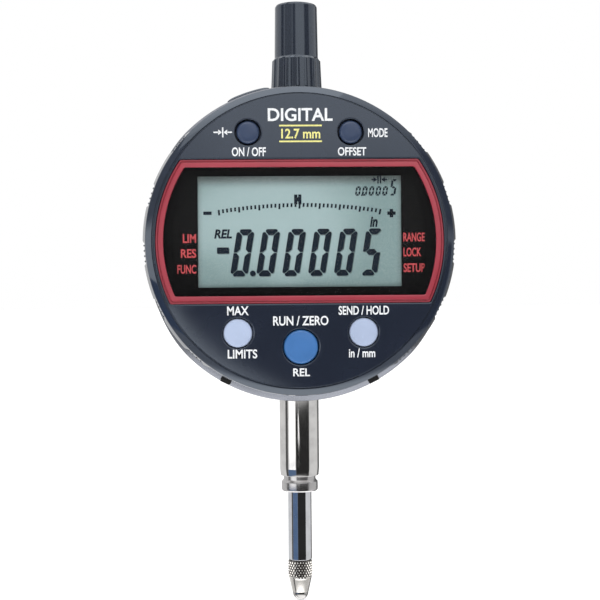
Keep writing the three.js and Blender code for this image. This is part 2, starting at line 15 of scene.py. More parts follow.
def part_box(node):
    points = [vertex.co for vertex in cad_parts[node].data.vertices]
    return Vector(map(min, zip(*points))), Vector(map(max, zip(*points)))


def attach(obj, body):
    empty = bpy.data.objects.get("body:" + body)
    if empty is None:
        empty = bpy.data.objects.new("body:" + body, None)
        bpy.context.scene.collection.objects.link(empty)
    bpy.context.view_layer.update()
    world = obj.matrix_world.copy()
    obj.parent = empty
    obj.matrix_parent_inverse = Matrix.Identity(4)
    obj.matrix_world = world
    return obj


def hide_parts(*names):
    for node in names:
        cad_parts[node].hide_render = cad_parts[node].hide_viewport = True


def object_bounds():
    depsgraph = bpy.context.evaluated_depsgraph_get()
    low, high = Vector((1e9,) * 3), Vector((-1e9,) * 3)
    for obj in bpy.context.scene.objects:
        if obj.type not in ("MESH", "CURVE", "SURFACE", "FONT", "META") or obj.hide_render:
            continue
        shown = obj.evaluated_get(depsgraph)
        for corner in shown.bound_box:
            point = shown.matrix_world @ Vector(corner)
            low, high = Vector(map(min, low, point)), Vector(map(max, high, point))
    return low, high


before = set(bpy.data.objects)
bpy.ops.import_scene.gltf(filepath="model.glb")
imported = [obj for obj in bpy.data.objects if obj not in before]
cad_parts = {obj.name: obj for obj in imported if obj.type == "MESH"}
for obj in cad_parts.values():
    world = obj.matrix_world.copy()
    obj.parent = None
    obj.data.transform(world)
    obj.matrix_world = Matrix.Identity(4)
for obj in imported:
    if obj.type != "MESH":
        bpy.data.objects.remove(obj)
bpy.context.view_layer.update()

# %% [markdown]
# The main sizes below hang on the frame, so that a change to the mechanical model carries through; the
# rest are given as numbers. The head is the round part, and its axis runs from front to back through
# its centre.


# %% Read the driving sizes
def corners(node):
    """A mechanical part's lowest and highest corners, in millimetres."""
    low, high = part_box(node)
    return Vector(low) * 1000, Vector(high) * 1000


def round_part(node):
    """The centre (x, z) and the radius of a part whose axis runs from front to back."""
    low, high = corners(node)
    return (low.x + high.x) / 2, (low.z + high.z) / 2, (high.x - low.x) / 2


shell_low, shell_high = corners("front_housing")
HEAD_Z = (shell_low.z + shell_high.z) / 2
HEAD = (0.0, HEAD_Z)
RIM_R = (shell_high.x - shell_low.x) / 2
FACE_Y = shell_low.y
RIM_BACK_Y = shell_high.y
FACE_R = RIM_R - 2.4
WALL_BACK_Y = FACE_Y + 1.6
POCKET_Y = FACE_Y + 1.1
LEDGE = 2.8
WINDOW_R = RIM_R - 2.65
WINDOW_TOP = 15.57
WINDOW_BOTTOM = -11.95

case_low, case_high = corners("main_case")
CASE_R = (case_high.z - case_low.z) / 2
CASE_SIDE_R = (case_high.x - case_low.x) / 2
CASE_FRONT_Y, CASE_BACK_Y = case_low.y, case_high.y
CASE_WALL = 1.8
BACK_Y = corners("back_cover")[1].y
print(f"head {2 * RIM_R:.1f} mm across, face at y = {FACE_Y:.1f} mm")

# %% [markdown]
# Shapes are gathered as points and faces. Two moves make nearly everything here: a loft joins loops
# of the same number of points, and a fill closes a flat outline, round any holes in it. They share
# their edge points, which are merged at the end, so the piece closes. A wall is the loft that lines a
# round hole or covers a post, and it gives back its end loops for the fills.


# %% A shape made of lofts and fills
class Shape:
    """Points and faces of one piece, in millimetres."""

    def __init__(self):
        self.points, self.faces = [], []

    def _add(self, loop):
        start = len(self.points)
        self.points += [tuple(point) for point in loop]
        return list(range(start, len(self.points)))

    def loft(self, loops, closed=False):
        """Walls between one loop and the next. A loop of one point is a pole."""
        rings = [self._add(loop) for loop in loops]
        pairs = list(zip(rings, rings[1:])) + ([(rings[-1], rings[0])] if closed else [])
        for one, two in pairs:
            for i in range(max(len(one), len(two))):
                j = i + 1
                ends = one[i % len(one)], one[j % len(one)], two[j % len(two)], two[i % len(two)]
                self.faces.append(tuple(dict.fromkeys(ends)))
        return self

    def fill(self, outer, holes=()):
        """A flat face inside a loop, with holes left open."""
        loops = [outer, *holes]
        index = [i for loop in loops for i in self._add(loop)]
        flat = [[Vector(point) for point in loop] for loop in loops]
        self.faces += [tuple(index[i] for i in triangle) for triangle in tessellate_polygon(flat)]
        return self

    def wall(self, profile, sides, centre):
        """A turned wall about a front-to-back axis, and its first and last loops."""
        rings = [circle(r, y, sides, "Y", centre) for r, y in profile]
        self.loft(rings)
        return rings[0], rings[-1]

    def add(self, other):
        offset = len(self.points)
        self.points += other.points
        self.faces += [tuple(i + offset for i in face) for face in other.faces]
        return self

    def moved(self, matrix):
        self.points = [tuple(matrix @ Vector(point)) for point in self.points]
        return self

    def mesh(self, name):
        """A merged mesh in metres, with its faces pointing out."""
        mesh = bpy.data.meshes.new(name)
        mesh.from_pydata([Vector(point) / 1000 for point in self.points], [], self.faces)
        work = bmesh.new()
        work.from_mesh(mesh)
        bmesh.ops.remove_doubles(work, verts=work.verts, dist=2e-7)
        bmesh.ops.dissolve_degenerate(work, edges=work.edges, dist=1e-8)
        bmesh.ops.recalc_face_normals(work, faces=work.faces)
        work.to_mesh(mesh)
        work.free()
        return mesh

    def piece(self, name):
        return linked(name, self.mesh(name))


def linked(name, mesh):
    """A mesh as an object of the scene."""
    made = bpy.data.objects.new(name, mesh)
    bpy.context.scene.collection.objects.link(made)
    return made


def solid(loops):
    """A shape lofted through flat loops, with both ends filled."""
    return Shape().loft(loops).fill(loops[0]).fill(loops[-1])


# %% [markdown]
# A finished piece gets its finish, its shading and its place in the mechanism in one call. Edges
# sharper than the given angle stay crisp, and the rest are shaded as smooth curves.


# %% Finish a piece and hang it on its body
def fit(piece, finish, body, slot, replaces=(), crisp=32):
    """Gives a piece its finish and shading, and lets it ride on a body."""
    mesh = piece.data
    mesh.materials.clear()
    mesh.materials.append(finish)
    mesh.polygons.foreach_set("material_index", [0] * len(mesh.polygons))
    mesh.shade_smooth()
    mesh.set_sharp_from_angle(angle=math.radians(crisp))
    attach(piece, body)
    if replaces:
        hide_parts(*replaces)
    return piece


def machined(name, shape, joins=(), cuts=()):
    """A shape with others joined to it, and then others cut out of it."""
    work = shape.piece(name)
    steps = [("UNION", other) for other in joins] + [("DIFFERENCE", other) for other in cuts]
    for operation, other in steps:
        tool = other.piece(name + "_tool")
        change = work.modifiers.new("change", "BOOLEAN")
        change.operation, change.solver, change.object = operation, "EXACT", tool
        evaluated = work.evaluated_get(bpy.context.evaluated_depsgraph_get())
        mesh = bpy.data.meshes.new_from_object(evaluated)
        work.modifiers.remove(change)
        work.data = mesh
        bpy.data.objects.remove(tool)
    return work


# %% [markdown]
# Machined and moulded edges are never dead sharp. A fillet written into the profile costs nothing
# and catches the light, so each corner of a profile may carry a radius.


# %% Profiles and loops
def rounded(corner_list, steps=4, closed=False):
    """A profile from (a, b, fillet radius) corners, each fillet an arc."""
    points = []
    count = len(corner_list)
    for i, (a, b, radius) in enumerate(corner_list):
        here = Vector((a, b))
        if radius == 0 or (not closed and i in (0, count - 1)):
            points.append((a, b))
            continue
        before = Vector(corner_list[i - 1][:2]) - here
        after = Vector(corner_list[(i + 1) % count][:2]) - here
        half = before.angle(after) / 2
        reach = min(radius / math.tan(half), before.length * 0.49, after.length * 0.49)
        start = here + before.normalized() * reach
        middle = here + (before.normalized() + after.normalized()).normalized() * (reach / math.cos(half))
        spoke = start - middle
        end = here + after.normalized() * reach - middle
        turn = spoke.angle_signed(end)
        for k in range(steps + 1):
            spot = middle + Matrix.Rotation(-turn * k / steps, 2) @ spoke
            points.append((spot.x, spot.y))
    return points


def circle(radius, height, sides, axis="Z", centre=(0.0, 0.0)):
    """A round loop. Axis Z turns about the spindle, and Y about (x, z) of a front-to-back axis."""
    if radius < 1e-6:
        return [(0, 0, height)] if axis == "Z" else [(centre[0], height, centre[1])]
    angles = [2 * math.pi * i / sides for i in range(sides)]
    if axis == "Z":
        return [(radius * math.cos(a), radius * math.sin(a), height) for a in angles]
    return [(centre[0] + radius * math.sin(a), height, centre[1] + radius * math.cos(a)) for a in angles]


def turned(profile, sides=96, axis="Z", centre=(0.0, 0.0), closed=False):
    """A turned shape from (radius, height) pairs."""
    return Shape().loft([circle(r, h, sides, axis, centre) for r, h in profile], closed)


def block(low, high, soften=0.0):
    """A box between two corners, with its edges softened."""
    (x0, y0, z0), (x1, y1, z1) = low, high
    loops = []
    for z, inset in ((z0, soften), (z0 + soften, 0), (z1 - soften, 0), (z1, soften)):
        s = soften + 1e-3
        a, b, c, d = x0 + inset, x1 - inset, y0 + inset, y1 - inset
        loops.append([(a + s, c, z), (b - s, c, z), (b, c + s, z), (b, d - s, z)])
        loops[-1] += [(b - s, d, z), (a + s, d, z), (a, d - s, z), (a, c + s, z)]
    if soften == 0:
        loops = [loops[0], loops[-1]]
    return solid(loops)


def about_head(degrees, unit=1.0):
    """The turn that carries a shape from the top of the head clockwise about the head's axis."""
    centre = Matrix.Translation((0, 0, HEAD_Z * unit))
    return centre @ Matrix.Rotation(math.radians(degrees), 4, "Y") @ centre.inverted()


# %% [markdown]
# ## Finishes
# A finish is a small node tree. The class below wraps one socket, so that shader maths reads as
# plain arithmetic, and one method adds any other node. Patterns read object coordinates, which are
# metres here, so a size in millimetres becomes a scale of 1000 over that size.


# %% Node trees written as expressions
class Value:
    """A value that a node gives, with Python's operators as Math nodes."""

    def __init__(self, tree, socket):
        self.tree, self.socket = tree, socket

    def _math(self, operation, *values):
        inputs = dict(enumerate(values))
        return self.tree.node("ShaderNodeMath", {"operation": operation}, inputs)

    def __add__(self, other):
        return self._math("ADD", self, other)

    def __sub__(self, other):
        return self._math("SUBTRACT", self, other)

    def __mul__(self, other):
        return self._math("MULTIPLY", self, other)

    def __truediv__(self, other):
        return self._math("DIVIDE", self, other)

    def __pow__(self, other):
        return self._math("POWER", self, other)

    def __rsub__(self, other):
        return self._math("SUBTRACT", other, self)

    __radd__, __rmul__ = __add__, __mul__

    def apply(self, operation, *others):
        return self._math(operation, self, *others)

    def between(self, low, high, out_low=0.0, out_high=1.0):
        """The value carried from one range to another, and held at both ends."""
        inputs = {"Value": self, "From Min": low, "From Max": high, "To Min": out_low, "To Max": out_high}
        return self.tree.node("ShaderNodeMapRange", {"interpolation_type": "SMOOTHSTEP"}, inputs)


class Tree:
    """A node tree, with one way to add a node."""

    def __init__(self, tree):
        self.tree = tree

    def plug(self, socket, value):
        if isinstance(value, Value):
            self.tree.links.new(value.socket, socket)
        else:
            socket.default_value = value

    def node(self, kind, settings=None, inputs=None, output=0):
        made = self.tree.nodes.new(kind)
        for key, setting in (settings or {}).items():
            setattr(made, key, setting)
        for key, value in (inputs or {}).items():
            self.plug(made.inputs[key], value)
        return Value(self, made.outputs[output])


class Finish(Tree):
    """A material with one Principled shader, which its patterns feed."""

    def __init__(self, name, colour, roughness, metallic=0.0, **sockets):
        self.material = bpy.data.materials.new(name)
        self.material.use_nodes = True
        super().__init__(self.material.node_tree)
        self.shader = next(n for n in self.tree.nodes if n.type == "BSDF_PRINCIPLED")
        self.place = self.node("ShaderNodeTexCoord", output="Object")
        self.feed("Base Color", (*colour, 1))
        self.feed("Roughness", roughness)
        self.feed("Metallic", metallic)
        for socket, value in sockets.items():
            self.feed(socket.replace("_", " "), value)

    def feed(self, socket, value):
        self.plug(self.shader.inputs[socket], value)
        return self

    def grain(self, size, detail=2.0, stretch=(1, 1, 1)):
        """Soft random variation, from about 0.3 to 0.7, whose spots are size mm across."""
        place = self.place
        if stretch != (1, 1, 1):
            place = self.node("ShaderNodeMapping", None, {"Vector": self.place, "Scale": stretch})
        inputs = {"Vector": place, "Scale": 1000 / size, "Detail": detail}
        return self.node("ShaderNodeTexNoise", {"noise_dimensions": "3D"}, inputs)

    def along(self, axis):
        """How far along X, Y or Z, in millimetres."""
        split = self.node("ShaderNodeSeparateXYZ", None, {0: self.place}, output="XYZ".index(axis))
        return split * 1000

    def mix(self, factor, one, two):
        """One colour passing into another."""
        colours = [c if isinstance(c, Value) else (*c, 1) for c in (one, two)]
        inputs = {0: factor, 6: colours[0], 7: colours[1]}
        return self.node("ShaderNodeMix", {"data_type": "RGBA"}, inputs, output=2)

    def bump(self, height, distance):
        """Fine relief, distance mm deep."""
        inputs = {"Strength": 1.0, "Distance": distance / 1000, "Height": height}
        return self.feed("Normal", self.node("ShaderNodeBump", None, inputs))


def shade(colour, by):
    """A colour made lighter or darker."""
    return tuple(min(1.0, channel * by) for channel in colour)


# %% [markdown]
# Moulded plastic takes its surface from a spark-eroded tool: a very fine, even grain. Handling
# polishes it a little here and there, so its roughness drifts over several millimetres.


# %% Moulded plastics
def moulded(name, colour, roughness, grain=0.16, depth=0.004, drift=0.05, metallic=0.0, **sockets):
    """Plastic with a tool grain, slight mottling and patches that handling has polished."""
    finish = Finish(name, colour, roughness, metallic, **sockets)
    fine = finish.grain(grain, 1)
    cloud = finish.grain(9, 3)
    specks = finish.grain(0.5, 2).between(0.62, 0.75)
    tint = finish.mix(cloud.between(0.3, 0.7), shade(colour, 0.93), shade(colour, 1.06))
    finish.feed("Base Color", finish.mix(specks * 0.25, tint, shade(colour, 1.25)))
    finish.feed("Roughness", roughness + (cloud - 0.5) * (2 * drift) + (fine - 0.5) * 0.08)
    finish.bump(fine, depth)
    return finish.material


glossy = {"Specular_IOR_Level": 1.0, "Specular_Tint": (0.8, 0.9, 1.0, 1)}
slate_plastic = moulded("slate_plastic", (0.017, 0.022, 0.037), 0.06, depth=0.0004, drift=0.02, **glossy)
case_metal = moulded("case_metal", (0.2, 0.21, 0.24), 0.26, grain=0.4, depth=0.003, metallic=0.75)
cap_plastic = moulded("cap_plastic", (0.019, 0.024, 0.037), 0.1, depth=0.0006, **glossy)
dark_key_plastic = moulded("dark_key_plastic", (0.035, 0.055, 0.11), 0.3, depth=0.002)
pale_key_plastic = moulded("pale_key_plastic", (0.42, 0.5, 0.68), 0.32, depth=0.002)
blue_key_plastic = moulded("blue_key_plastic", (0.045, 0.165, 0.43), 0.3, depth=0.002)
red_plastic = moulded("red_plastic", (0.35, 0.034, 0.055), 0.2, depth=0.001, Specular_IOR_Level=0.8)
black_plastic = moulded("black_plastic", (0.012, 0.012, 0.013), 0.5)
rubber = moulded("rubber", (0.014, 0.014, 0.015), 0.75, depth=0.01)
print("plastics made")

# %% [markdown]
# Turned and ground steel keeps the marks of the wheel: hair-fine rings round the axis, which smear a
# reflection slightly. Stretching a noise pattern across the axis gives them, and dull patches keep
# the steel from looking like a mirror. The grooves of the contact point's knurl carry painted shade,
# near black, and they are found by how near the axis a point lies.


# %% Metals
def ground_metal(name, colour, roughness, axis="Z", marks=0.05, depth=0.0008, shade_grooves_below=None):
    """Bright metal with fine grinding marks round its axis."""
    finish = Finish(name, colour, roughness, 1.0)
    squash = {"Z": (0.02, 0.02, 1), "Y": (0.02, 1, 0.02), "X": (1, 0.02, 0.02)}[axis]
    rings = finish.grain(0.03, 2, squash)
    dull = finish.grain(3, 4)
    steel = finish.mix(dull.between(0.35, 0.7), colour, shade(colour, 0.86))
    # Painted shade: points near the axis, inside the knurl, are the grooves, and they turn near black.
    if shade_grooves_below:
        from_axis = (finish.along("X") ** 2 + finish.along("Y") ** 2) ** 0.5
        painted_groove_shade = 1 - from_axis.between(shade_grooves_below - 0.06, shade_grooves_below)
        painted_groove_shade = painted_groove_shade * finish.along("Z").between(KNURL_END + 0.1, KNURL_END + 0.2)
        steel = finish.mix(painted_groove_shade * 0.92, steel, (0.03, 0.028, 0.026))
    finish.feed("Base Color", steel)
    finish.feed("Roughness", roughness + dull.between(0.45, 0.75, 0.0, marks) + (rings - 0.5) * marks)
    finish.bump(rings, depth)
    return finish.material


KNURL_TOP, KNURL_END = -14.05, -17.6
stem_steel = ground_metal("stem_steel", (0.72, 0.71, 0.7), 0.08, depth=0.0004)
contact_steel = ground_metal("contact_steel", (0.85, 0.82, 0.78), 0.12, shade_grooves_below=2.34)
spindle_steel = ground_metal("spindle_steel", (0.7, 0.71, 0.74), 0.06, marks=0.03, depth=0.0004)
ring_steel = ground_metal("ring_steel", (0.55, 0.54, 0.54), 0.22)
screw_steel = ground_metal("screw_steel", (0.5, 0.5, 0.52), 0.25, axis="Y")
carbide = ground_metal("carbide", (0.45, 0.44, 0.43), 0.08, depth=0.0002)
brass = ground_metal("brass", (0.72, 0.5, 0.2), 0.25)
cell_steel = ground_metal("cell_steel", (0.62, 0.62, 0.6), 0.2, axis="Y")


# %% [markdown]
# The hidden parts get honest finishes too, because the model can be opened. A circuit board shows
# faint copper tracks through its green resist, and a flexible ribbon is amber film over copper.


# %% Electronics
def circuit_board(name):
    """Green resist with tracks as straight lighter lines."""
    finish = Finish(name, (0.01, 0.09, 0.045), 0.35)
    tracks = None
    for axis in "XZ":
        wave = (finish.along(axis) * 4 + finish.grain(6, 0) * 5).apply("SINE")
        lines = wave.between(0.75, 0.85) * finish.grain(4, 0).between(0.48, 0.52)
        tracks = lines if tracks is None else tracks.apply("MAXIMUM", lines)
    finish.feed("Base Color", finish.mix(tracks, (0.01, 0.09, 0.045), (0.05, 0.2, 0.09)))
    finish.feed("Roughness", 0.4 - tracks * 0.12)
    finish.bump(tracks, 0.02)
    return finish.material


def ribbon_film(name):
    """Amber film with copper lines along it."""
    finish = Finish(name, (0.35, 0.14, 0.02), 0.3)
    lines = (finish.along("X") * 8).apply("SINE").between(0.0, 0.3)
    finish.feed("Base Color", finish.mix(lines, (0.3, 0.12, 0.02), (0.55, 0.26, 0.08)))
    finish.bump(lines, 0.01)
    return finish.material


board_green = circuit_board("board_green")
ribbon_amber = ribbon_film("ribbon_amber")

# %% [markdown]
# The display is a sheet of liquid crystal over a grey-green reflector. The reflector has a cloudy,
# slightly uneven tone. Painted light brightens its middle, and painted shade darkens its edges, the
# upper one most, where the deep surround would shade them.

# %% The display's glass
lcd_low, lcd_high = corners("lcd_panel")
GLASS_Z = (lcd_low.z + lcd_high.z) / 2
VIEW_HALF_WIDTH = 38.9 / 2
VIEW_HALF_HEIGHT = 22.3 / 2


def display_reflector(name):
    """A cloudy grey-green reflector, with a painted bright middle and painted shade near its edges."""
    finish = Finish(name, (0.4, 0.5, 0.5), 0.45)
    cloud = finish.grain(14, 2)
    speck = finish.grain(0.25, 1)
    across, up = finish.along("X"), finish.along("Z") - GLASS_Z
    # Painted light: a soft pool, brightest near the middle, mixed with the random cloud.
    off_centre = ((across + 5) / 17) ** 2 + ((up - 3) / 13) ** 2
    cloud_and_painted_glow = (1.05 - off_centre + (cloud - 0.5) * 1.4).between(-0.3, 0.9)
    tint = finish.mix(cloud_and_painted_glow, (0.25, 0.38, 0.38), (0.43, 0.59, 0.6))
    # Painted shade near the edges, deepest along the top.
    from_top = VIEW_HALF_HEIGHT - up
    from_side = VIEW_HALF_WIDTH - across.apply("ABSOLUTE")
    light = from_top.between(0.1, 2.6, 0.32, 1.0) * from_side.between(-0.2, 1.2, 0.72, 1.0)
    light = light * (up + VIEW_HALF_HEIGHT).between(-0.2, 0.9, 0.8, 1.0)
    shaded = finish.mix(light, (0.045, 0.042, 0.036), tint)
    finish.feed("Base Color", finish.mix(speck.between(0.35, 0.7) * 0.12, shaded, (0.75, 0.8, 0.8)))
    finish.feed("Roughness", 0.42 + (speck - 0.5) * 0.1)
    return finish.material


def flat_ink(name, colour, roughness=0.5, alpha=1.0, gloss=0.5):
    """Screen-printed ink, slightly uneven in tone."""
    finish = Finish(name, colour, roughness, Alpha=alpha, Specular_IOR_Level=gloss)
    mottle = finish.grain(0.25, 2)
    tone = mottle.between(0.35, 0.65)
    finish.feed("Base Color", finish.mix(tone, shade(colour, 0.88), shade(colour, 1.05)))
    finish.feed("Roughness", roughness + (mottle - 0.5) * 0.15)
    return finish.material


reflector = display_reflector("reflector")
mask_black = flat_ink("mask_black", (0.005, 0.005, 0.0055), gloss=0.08)
segment_ink = flat_ink("segment_ink", (0.008, 0.016, 0.03), 0.35, gloss=0.2)
# Painted shadow: a see-through dark ink for the copy of the digits that stands for their shadow.
painted_segment_shadow = flat_ink("painted_segment_shadow", (0.09, 0.14, 0.15), 0.5, alpha=0.35)
white_ink = flat_ink("white_ink", (0.86, 0.88, 0.9))
yellow_ink = flat_ink("yellow_ink", (0.85, 0.8, 0.28))
red_ink = flat_ink("red_ink", (0.75, 0.09, 0.1))


def clear_sheet(name):
    """A clear window: nearly all see-through, with a faint smear of handling."""
    finish = Finish(name, (0.02, 0.02, 0.02), 0.04, Alpha=0.08)
    smear = finish.grain(7, 4, (1, 1, 0.4))
    finish.feed("Roughness", smear.between(0.4, 0.75, 0.03, 0.12))
    return finish.material


window_clear = clear_sheet("window_clear")
scale_glass = flat_ink("scale_glass", (0.3, 0.36, 0.36), 0.12)

# %% [markdown]
# ## The front shell
# The shell is one moulding: a flat face with a sloping rim, holes for the keys and a pocket for the
# window. Cutting it with booleans would leave long thin faces and no fillets, so its walls are
# lofted loop by loop, and only the flat face is filled round its holes.

# %% Outlines on the face
KEY_FLANGE = 0.6
KEY_PLACES = {}
for key in ("power", "origin", "peak", "hold", "zero"):
    x, z, flange_r = round_part(key + "_key")
    KEY_PLACES[key] = (x, z, flange_r - KEY_FLANGE)
SCREW_PLACES = [round_part(f"display_screw_{i}")[:2] for i in range(1, 5)]
HOLE_GAP = {"power": 0.35, "origin": 0.35, "peak": 0.23, "hold": 0.23, "zero": 0.25}


def window_loop(inset, y):
    """The window's outline moved inwards: a circle with a flat top and bottom."""
    r, top, bottom = WINDOW_R - inset, WINDOW_TOP - inset, WINDOW_BOTTOM + inset
    high, low = math.asin(top / r), math.asin(bottom / r)
    steps, corner = 28, 0.45
    right = [low + (high - low) * i / steps for i in range(steps + 1)]
    spots = [(r * math.cos(a), r * math.sin(a)) for a in right]
    spots += [(-x, z) for x, z in reversed(spots)]
    ends = (0, steps, steps + 1, 2 * steps + 1)
    outline = [(x, z, corner if i in ends else 0) for i, (x, z) in enumerate(spots)]
    return [(x, y, HEAD_Z + z) for x, z in rounded(outline, closed=True)]


GRIP_FIRST, GRIP_PITCH, GRIP_COUNT = 51, 21.5, 5
GRIP_HALF, GRIP_DEPTH = 4.4, 0.3
GRIP_SWELL = 0.4
HEAD_SIDES = 720


def smooth(value, low, high):
    """0 below low, 1 above high, and an S-curve between."""
    t = min(1.0, max(0.0, (value - low) / (high - low)))
    return t * t * (3 - 2 * t)


def grip_at(degrees):
    """How deep the finger grips are at an angle from the top of the head, from 0 to 1."""
    side = abs((degrees + 180) % 360 - 180)
    away = min(abs(side - GRIP_FIRST - GRIP_PITCH * i) for i in range(GRIP_COUNT))
    return 1 - smooth(away, GRIP_HALF - 0.7, GRIP_HALF + 0.1)


def swell_at(degrees):
    """How far the rim swells at its sides, which carry the grips, from 0 to 1."""
    side = abs((degrees + 180) % 360 - 180)
    last = GRIP_FIRST + GRIP_PITCH * (GRIP_COUNT - 1)
    return smooth(side, GRIP_FIRST - 8, GRIP_FIRST - 3) * (1 - smooth(side, last + 3, last + 8))


def head_loop(radius_at, y):
    """A loop about the head's axis, whose radius follows from the angle in degrees."""
    points = []
    for i in range(HEAD_SIDES):
        degrees = 360 * i / HEAD_SIDES
        a, r = math.radians(degrees), radius_at(degrees)
        points.append((r * math.sin(a), y, HEAD_Z + r * math.cos(a)))
    return points


def rim_loop(radius, y, share):
    """A loop of the rim, with a share of its swell and its grips."""
    return head_loop(lambda a: radius + share * (GRIP_SWELL * swell_at(a) - GRIP_DEPTH * grip_at(a)), y)


# %% Loft the front shell
def front_shell():
    plain_r = RIM_R - GRIP_SWELL
    edge = [
        (FACE_R, FACE_Y, 0),
        (FACE_R + 0.12, FACE_Y, 0.06),
        (FACE_R + 0.2, FACE_Y + 0.32, 0.04),
        (FACE_R + 0.38, FACE_Y + 0.32, 0.04),
        (FACE_R + 0.44, FACE_Y + 0.14, 0.05),
        (plain_r - 0.33, FACE_Y + 0.7, 0.12),
        (plain_r - 0.05, FACE_Y + 3.1, 1.0),
        (plain_r, RIM_BACK_Y, 0.2),
        (RIM_R - 1.7, RIM_BACK_Y, 0.1),
        (RIM_R - 1.7, WALL_BACK_Y, 0),
    ]
    loops = []
    for r, y in rounded(edge, 6):
        share = smooth(y, FACE_Y + 1.3, FACE_Y + 2.6) if r > RIM_R - 1.0 else 0
        loops.append(rim_loop(r, y, share))
    shape = Shape().loft(loops)
    fronts, backs = [], []
    for name, (x, z, r) in KEY_PLACES.items():
        hole = r + HOLE_GAP[name]
        wall = rounded([(hole + 0.3, FACE_Y, 0), (hole, FACE_Y, 0.14), (hole, WALL_BACK_Y, 0)])
        front, back = shape.wall(wall, 64, (x, z))
        fronts.append(front)
        backs.append(back)
    pocket = [(-0.3, FACE_Y, 0), (0, FACE_Y, 0.08), (0, POCKET_Y, 0)]
    pocket += [(LEDGE, POCKET_Y, 0), (LEDGE, WALL_BACK_Y, 0)]
    rings = [window_loop(inset, y) for inset, y in rounded(pocket)]
    shape.loft(rings)
    fronts.append(rings[0])
    backs.append(rings[-1])
    boss = [(2.4, WALL_BACK_Y), (2.4, RIM_BACK_Y), (0.8, RIM_BACK_Y), (0.8, -13), (0, -13)]
    backs += [shape.wall(boss, 32, place)[0] for place in SCREW_PLACES]
    return shape.fill(loops[0], fronts).fill(loops[-1], backs)


shell = front_shell().piece("front_shell")
fit(shell, slate_plastic, "display_unit", "face_plastic", ["front_housing"], crisp=24)
print("front shell:", len(shell.data.polygons), "faces")

# %% [markdown]
# Small ribs stand in each finger grip. They repeat by a rule, so a Geometry Nodes tree sets them
# out: a line of points numbers the ribs, and arithmetic on that number gives each one its angle.


# %% Geometry Nodes helpers
class Growth(Tree):
    """A Geometry Nodes group with named inputs, and the plain mesh it makes."""

    def __init__(self, name, inputs):
        self.name, self.values = name, inputs
        self.group = bpy.data.node_groups.new(name, "GeometryNodeTree")
        super().__init__(self.group)
        kinds = {int: "NodeSocketInt", float: "NodeSocketFloat"}
        kinds.update({bpy.types.Material: "NodeSocketMaterial", bpy.types.Object: "NodeSocketObject"})
        for label, value in inputs.items():
            self.group.interface.new_socket(label, in_out="INPUT", socket_type=kinds[type(value)])
        self.group.interface.new_socket("Geometry", in_out="OUTPUT", socket_type="NodeSocketGeometry")
        self.inlet = self.tree.nodes.new("NodeGroupInput")

    def given(self, label):
        return Value(self, self.inlet.outputs[label])

    def grown(self, points, instance, rotation=(0, 0, 0), scale=(1, 1, 1)):
        """The instances as one plain mesh object, in metres."""
        placed = {"Points": points, "Instance": instance, "Rotation": rotation, "Scale": scale}
        copies = self.node("GeometryNodeInstanceOnPoints", None, placed)
        solid = self.node("GeometryNodeRealizeInstances", None, {0: copies})
        inputs = {"Geometry": solid, "Material": self.given("Finish")}
        painted = self.node("GeometryNodeSetMaterial", None, inputs)
        outlet = self.tree.nodes.new("NodeGroupOutput")
        self.plug(outlet.inputs[0], painted)
        holder = linked(self.name, bpy.data.meshes.new(self.name))
        modifier = holder.modifiers.new(self.name, "NODES")
        modifier.node_group = self.group
        for item in self.group.interface.items_tree:
            if item.in_out == "INPUT":
                modifier[item.identifier] = self.values[item.name]
        evaluated = holder.evaluated_get(bpy.context.evaluated_depsgraph_get())
        mesh = bpy.data.meshes.new_from_object(evaluated)
        holder.modifiers.remove(modifier)
        mesh.transform(Matrix.Scale(0.001, 4))
        holder.data = mesh
        return holder


def line_points(growth, count, place):
    """Points set out by a rule: place takes each point's number and gives its x, y and z."""
    line = growth.node("GeometryNodeMeshLine", None, {"Count": count, "Offset": (0, 0, 0)})
    number = growth.node("GeometryNodeInputIndex")
    spot = growth.node("ShaderNodeCombineXYZ", None, dict(enumerate(place(number))))
    return growth.node("GeometryNodeSetPosition", None, {"Geometry": line, "Position": spot})


# %% Ribs in the finger grips
def grip_ribs():
    inputs = {"Ribs": GRIP_COUNT * 8, "First": float(GRIP_FIRST), "Pitch": GRIP_PITCH, "Spacing": 1.95}
    inputs.update({"Rim": RIM_R - GRIP_DEPTH, "Size": 0.25, "Length": 4.6, "Finish": slate_plastic})
    growth = Growth("grip_ribs", inputs)
    count, first, pitch, spacing, rim, thick, length, _ = map(growth.given, inputs)

    def place(number):
        side = number.apply("MODULO", 2.0) * 2 - 1
        rest = (number * 0.5).apply("FLOOR")
        rib = rest.apply("MODULO", 4.0)
        grip = (rest * 0.25).apply("FLOOR")
        turn = (first + pitch * grip + (rib - 1.5) * spacing) * math.radians(1)
        across = turn.apply("SINE") * rim * side
        return across, (FACE_Y + RIM_BACK_Y) / 2 + 1.1, turn.apply("COSINE") * rim + HEAD_Z

    points = line_points(growth, count, place)
    bead = growth.node("GeometryNodeMeshUVSphere", None, {"Segments": 14, "Rings": 10, "Radius": 1.0})
    size = growth.node("ShaderNodeCombineXYZ", None, {0: thick, 1: thick, 2: length * 0.5})
    return growth.grown(points, bead, (math.pi / 2, 0, 0), size)


ribs = grip_ribs()
fit(ribs, slate_plastic, "display_unit", "face_plastic", crisp=60)
print("grip ribs:", len(ribs.data.polygons), "faces")

# %% [markdown]
# ## The window
# A red moulded frame lies in the pocket, and holds a clear sheet over the display. Its section is
# one closed loop of points, lofted round the window's outline, so its lip, its fine groove and its
# edges are true. A black border is printed on the back of the sheet, and hides the ledge behind it.


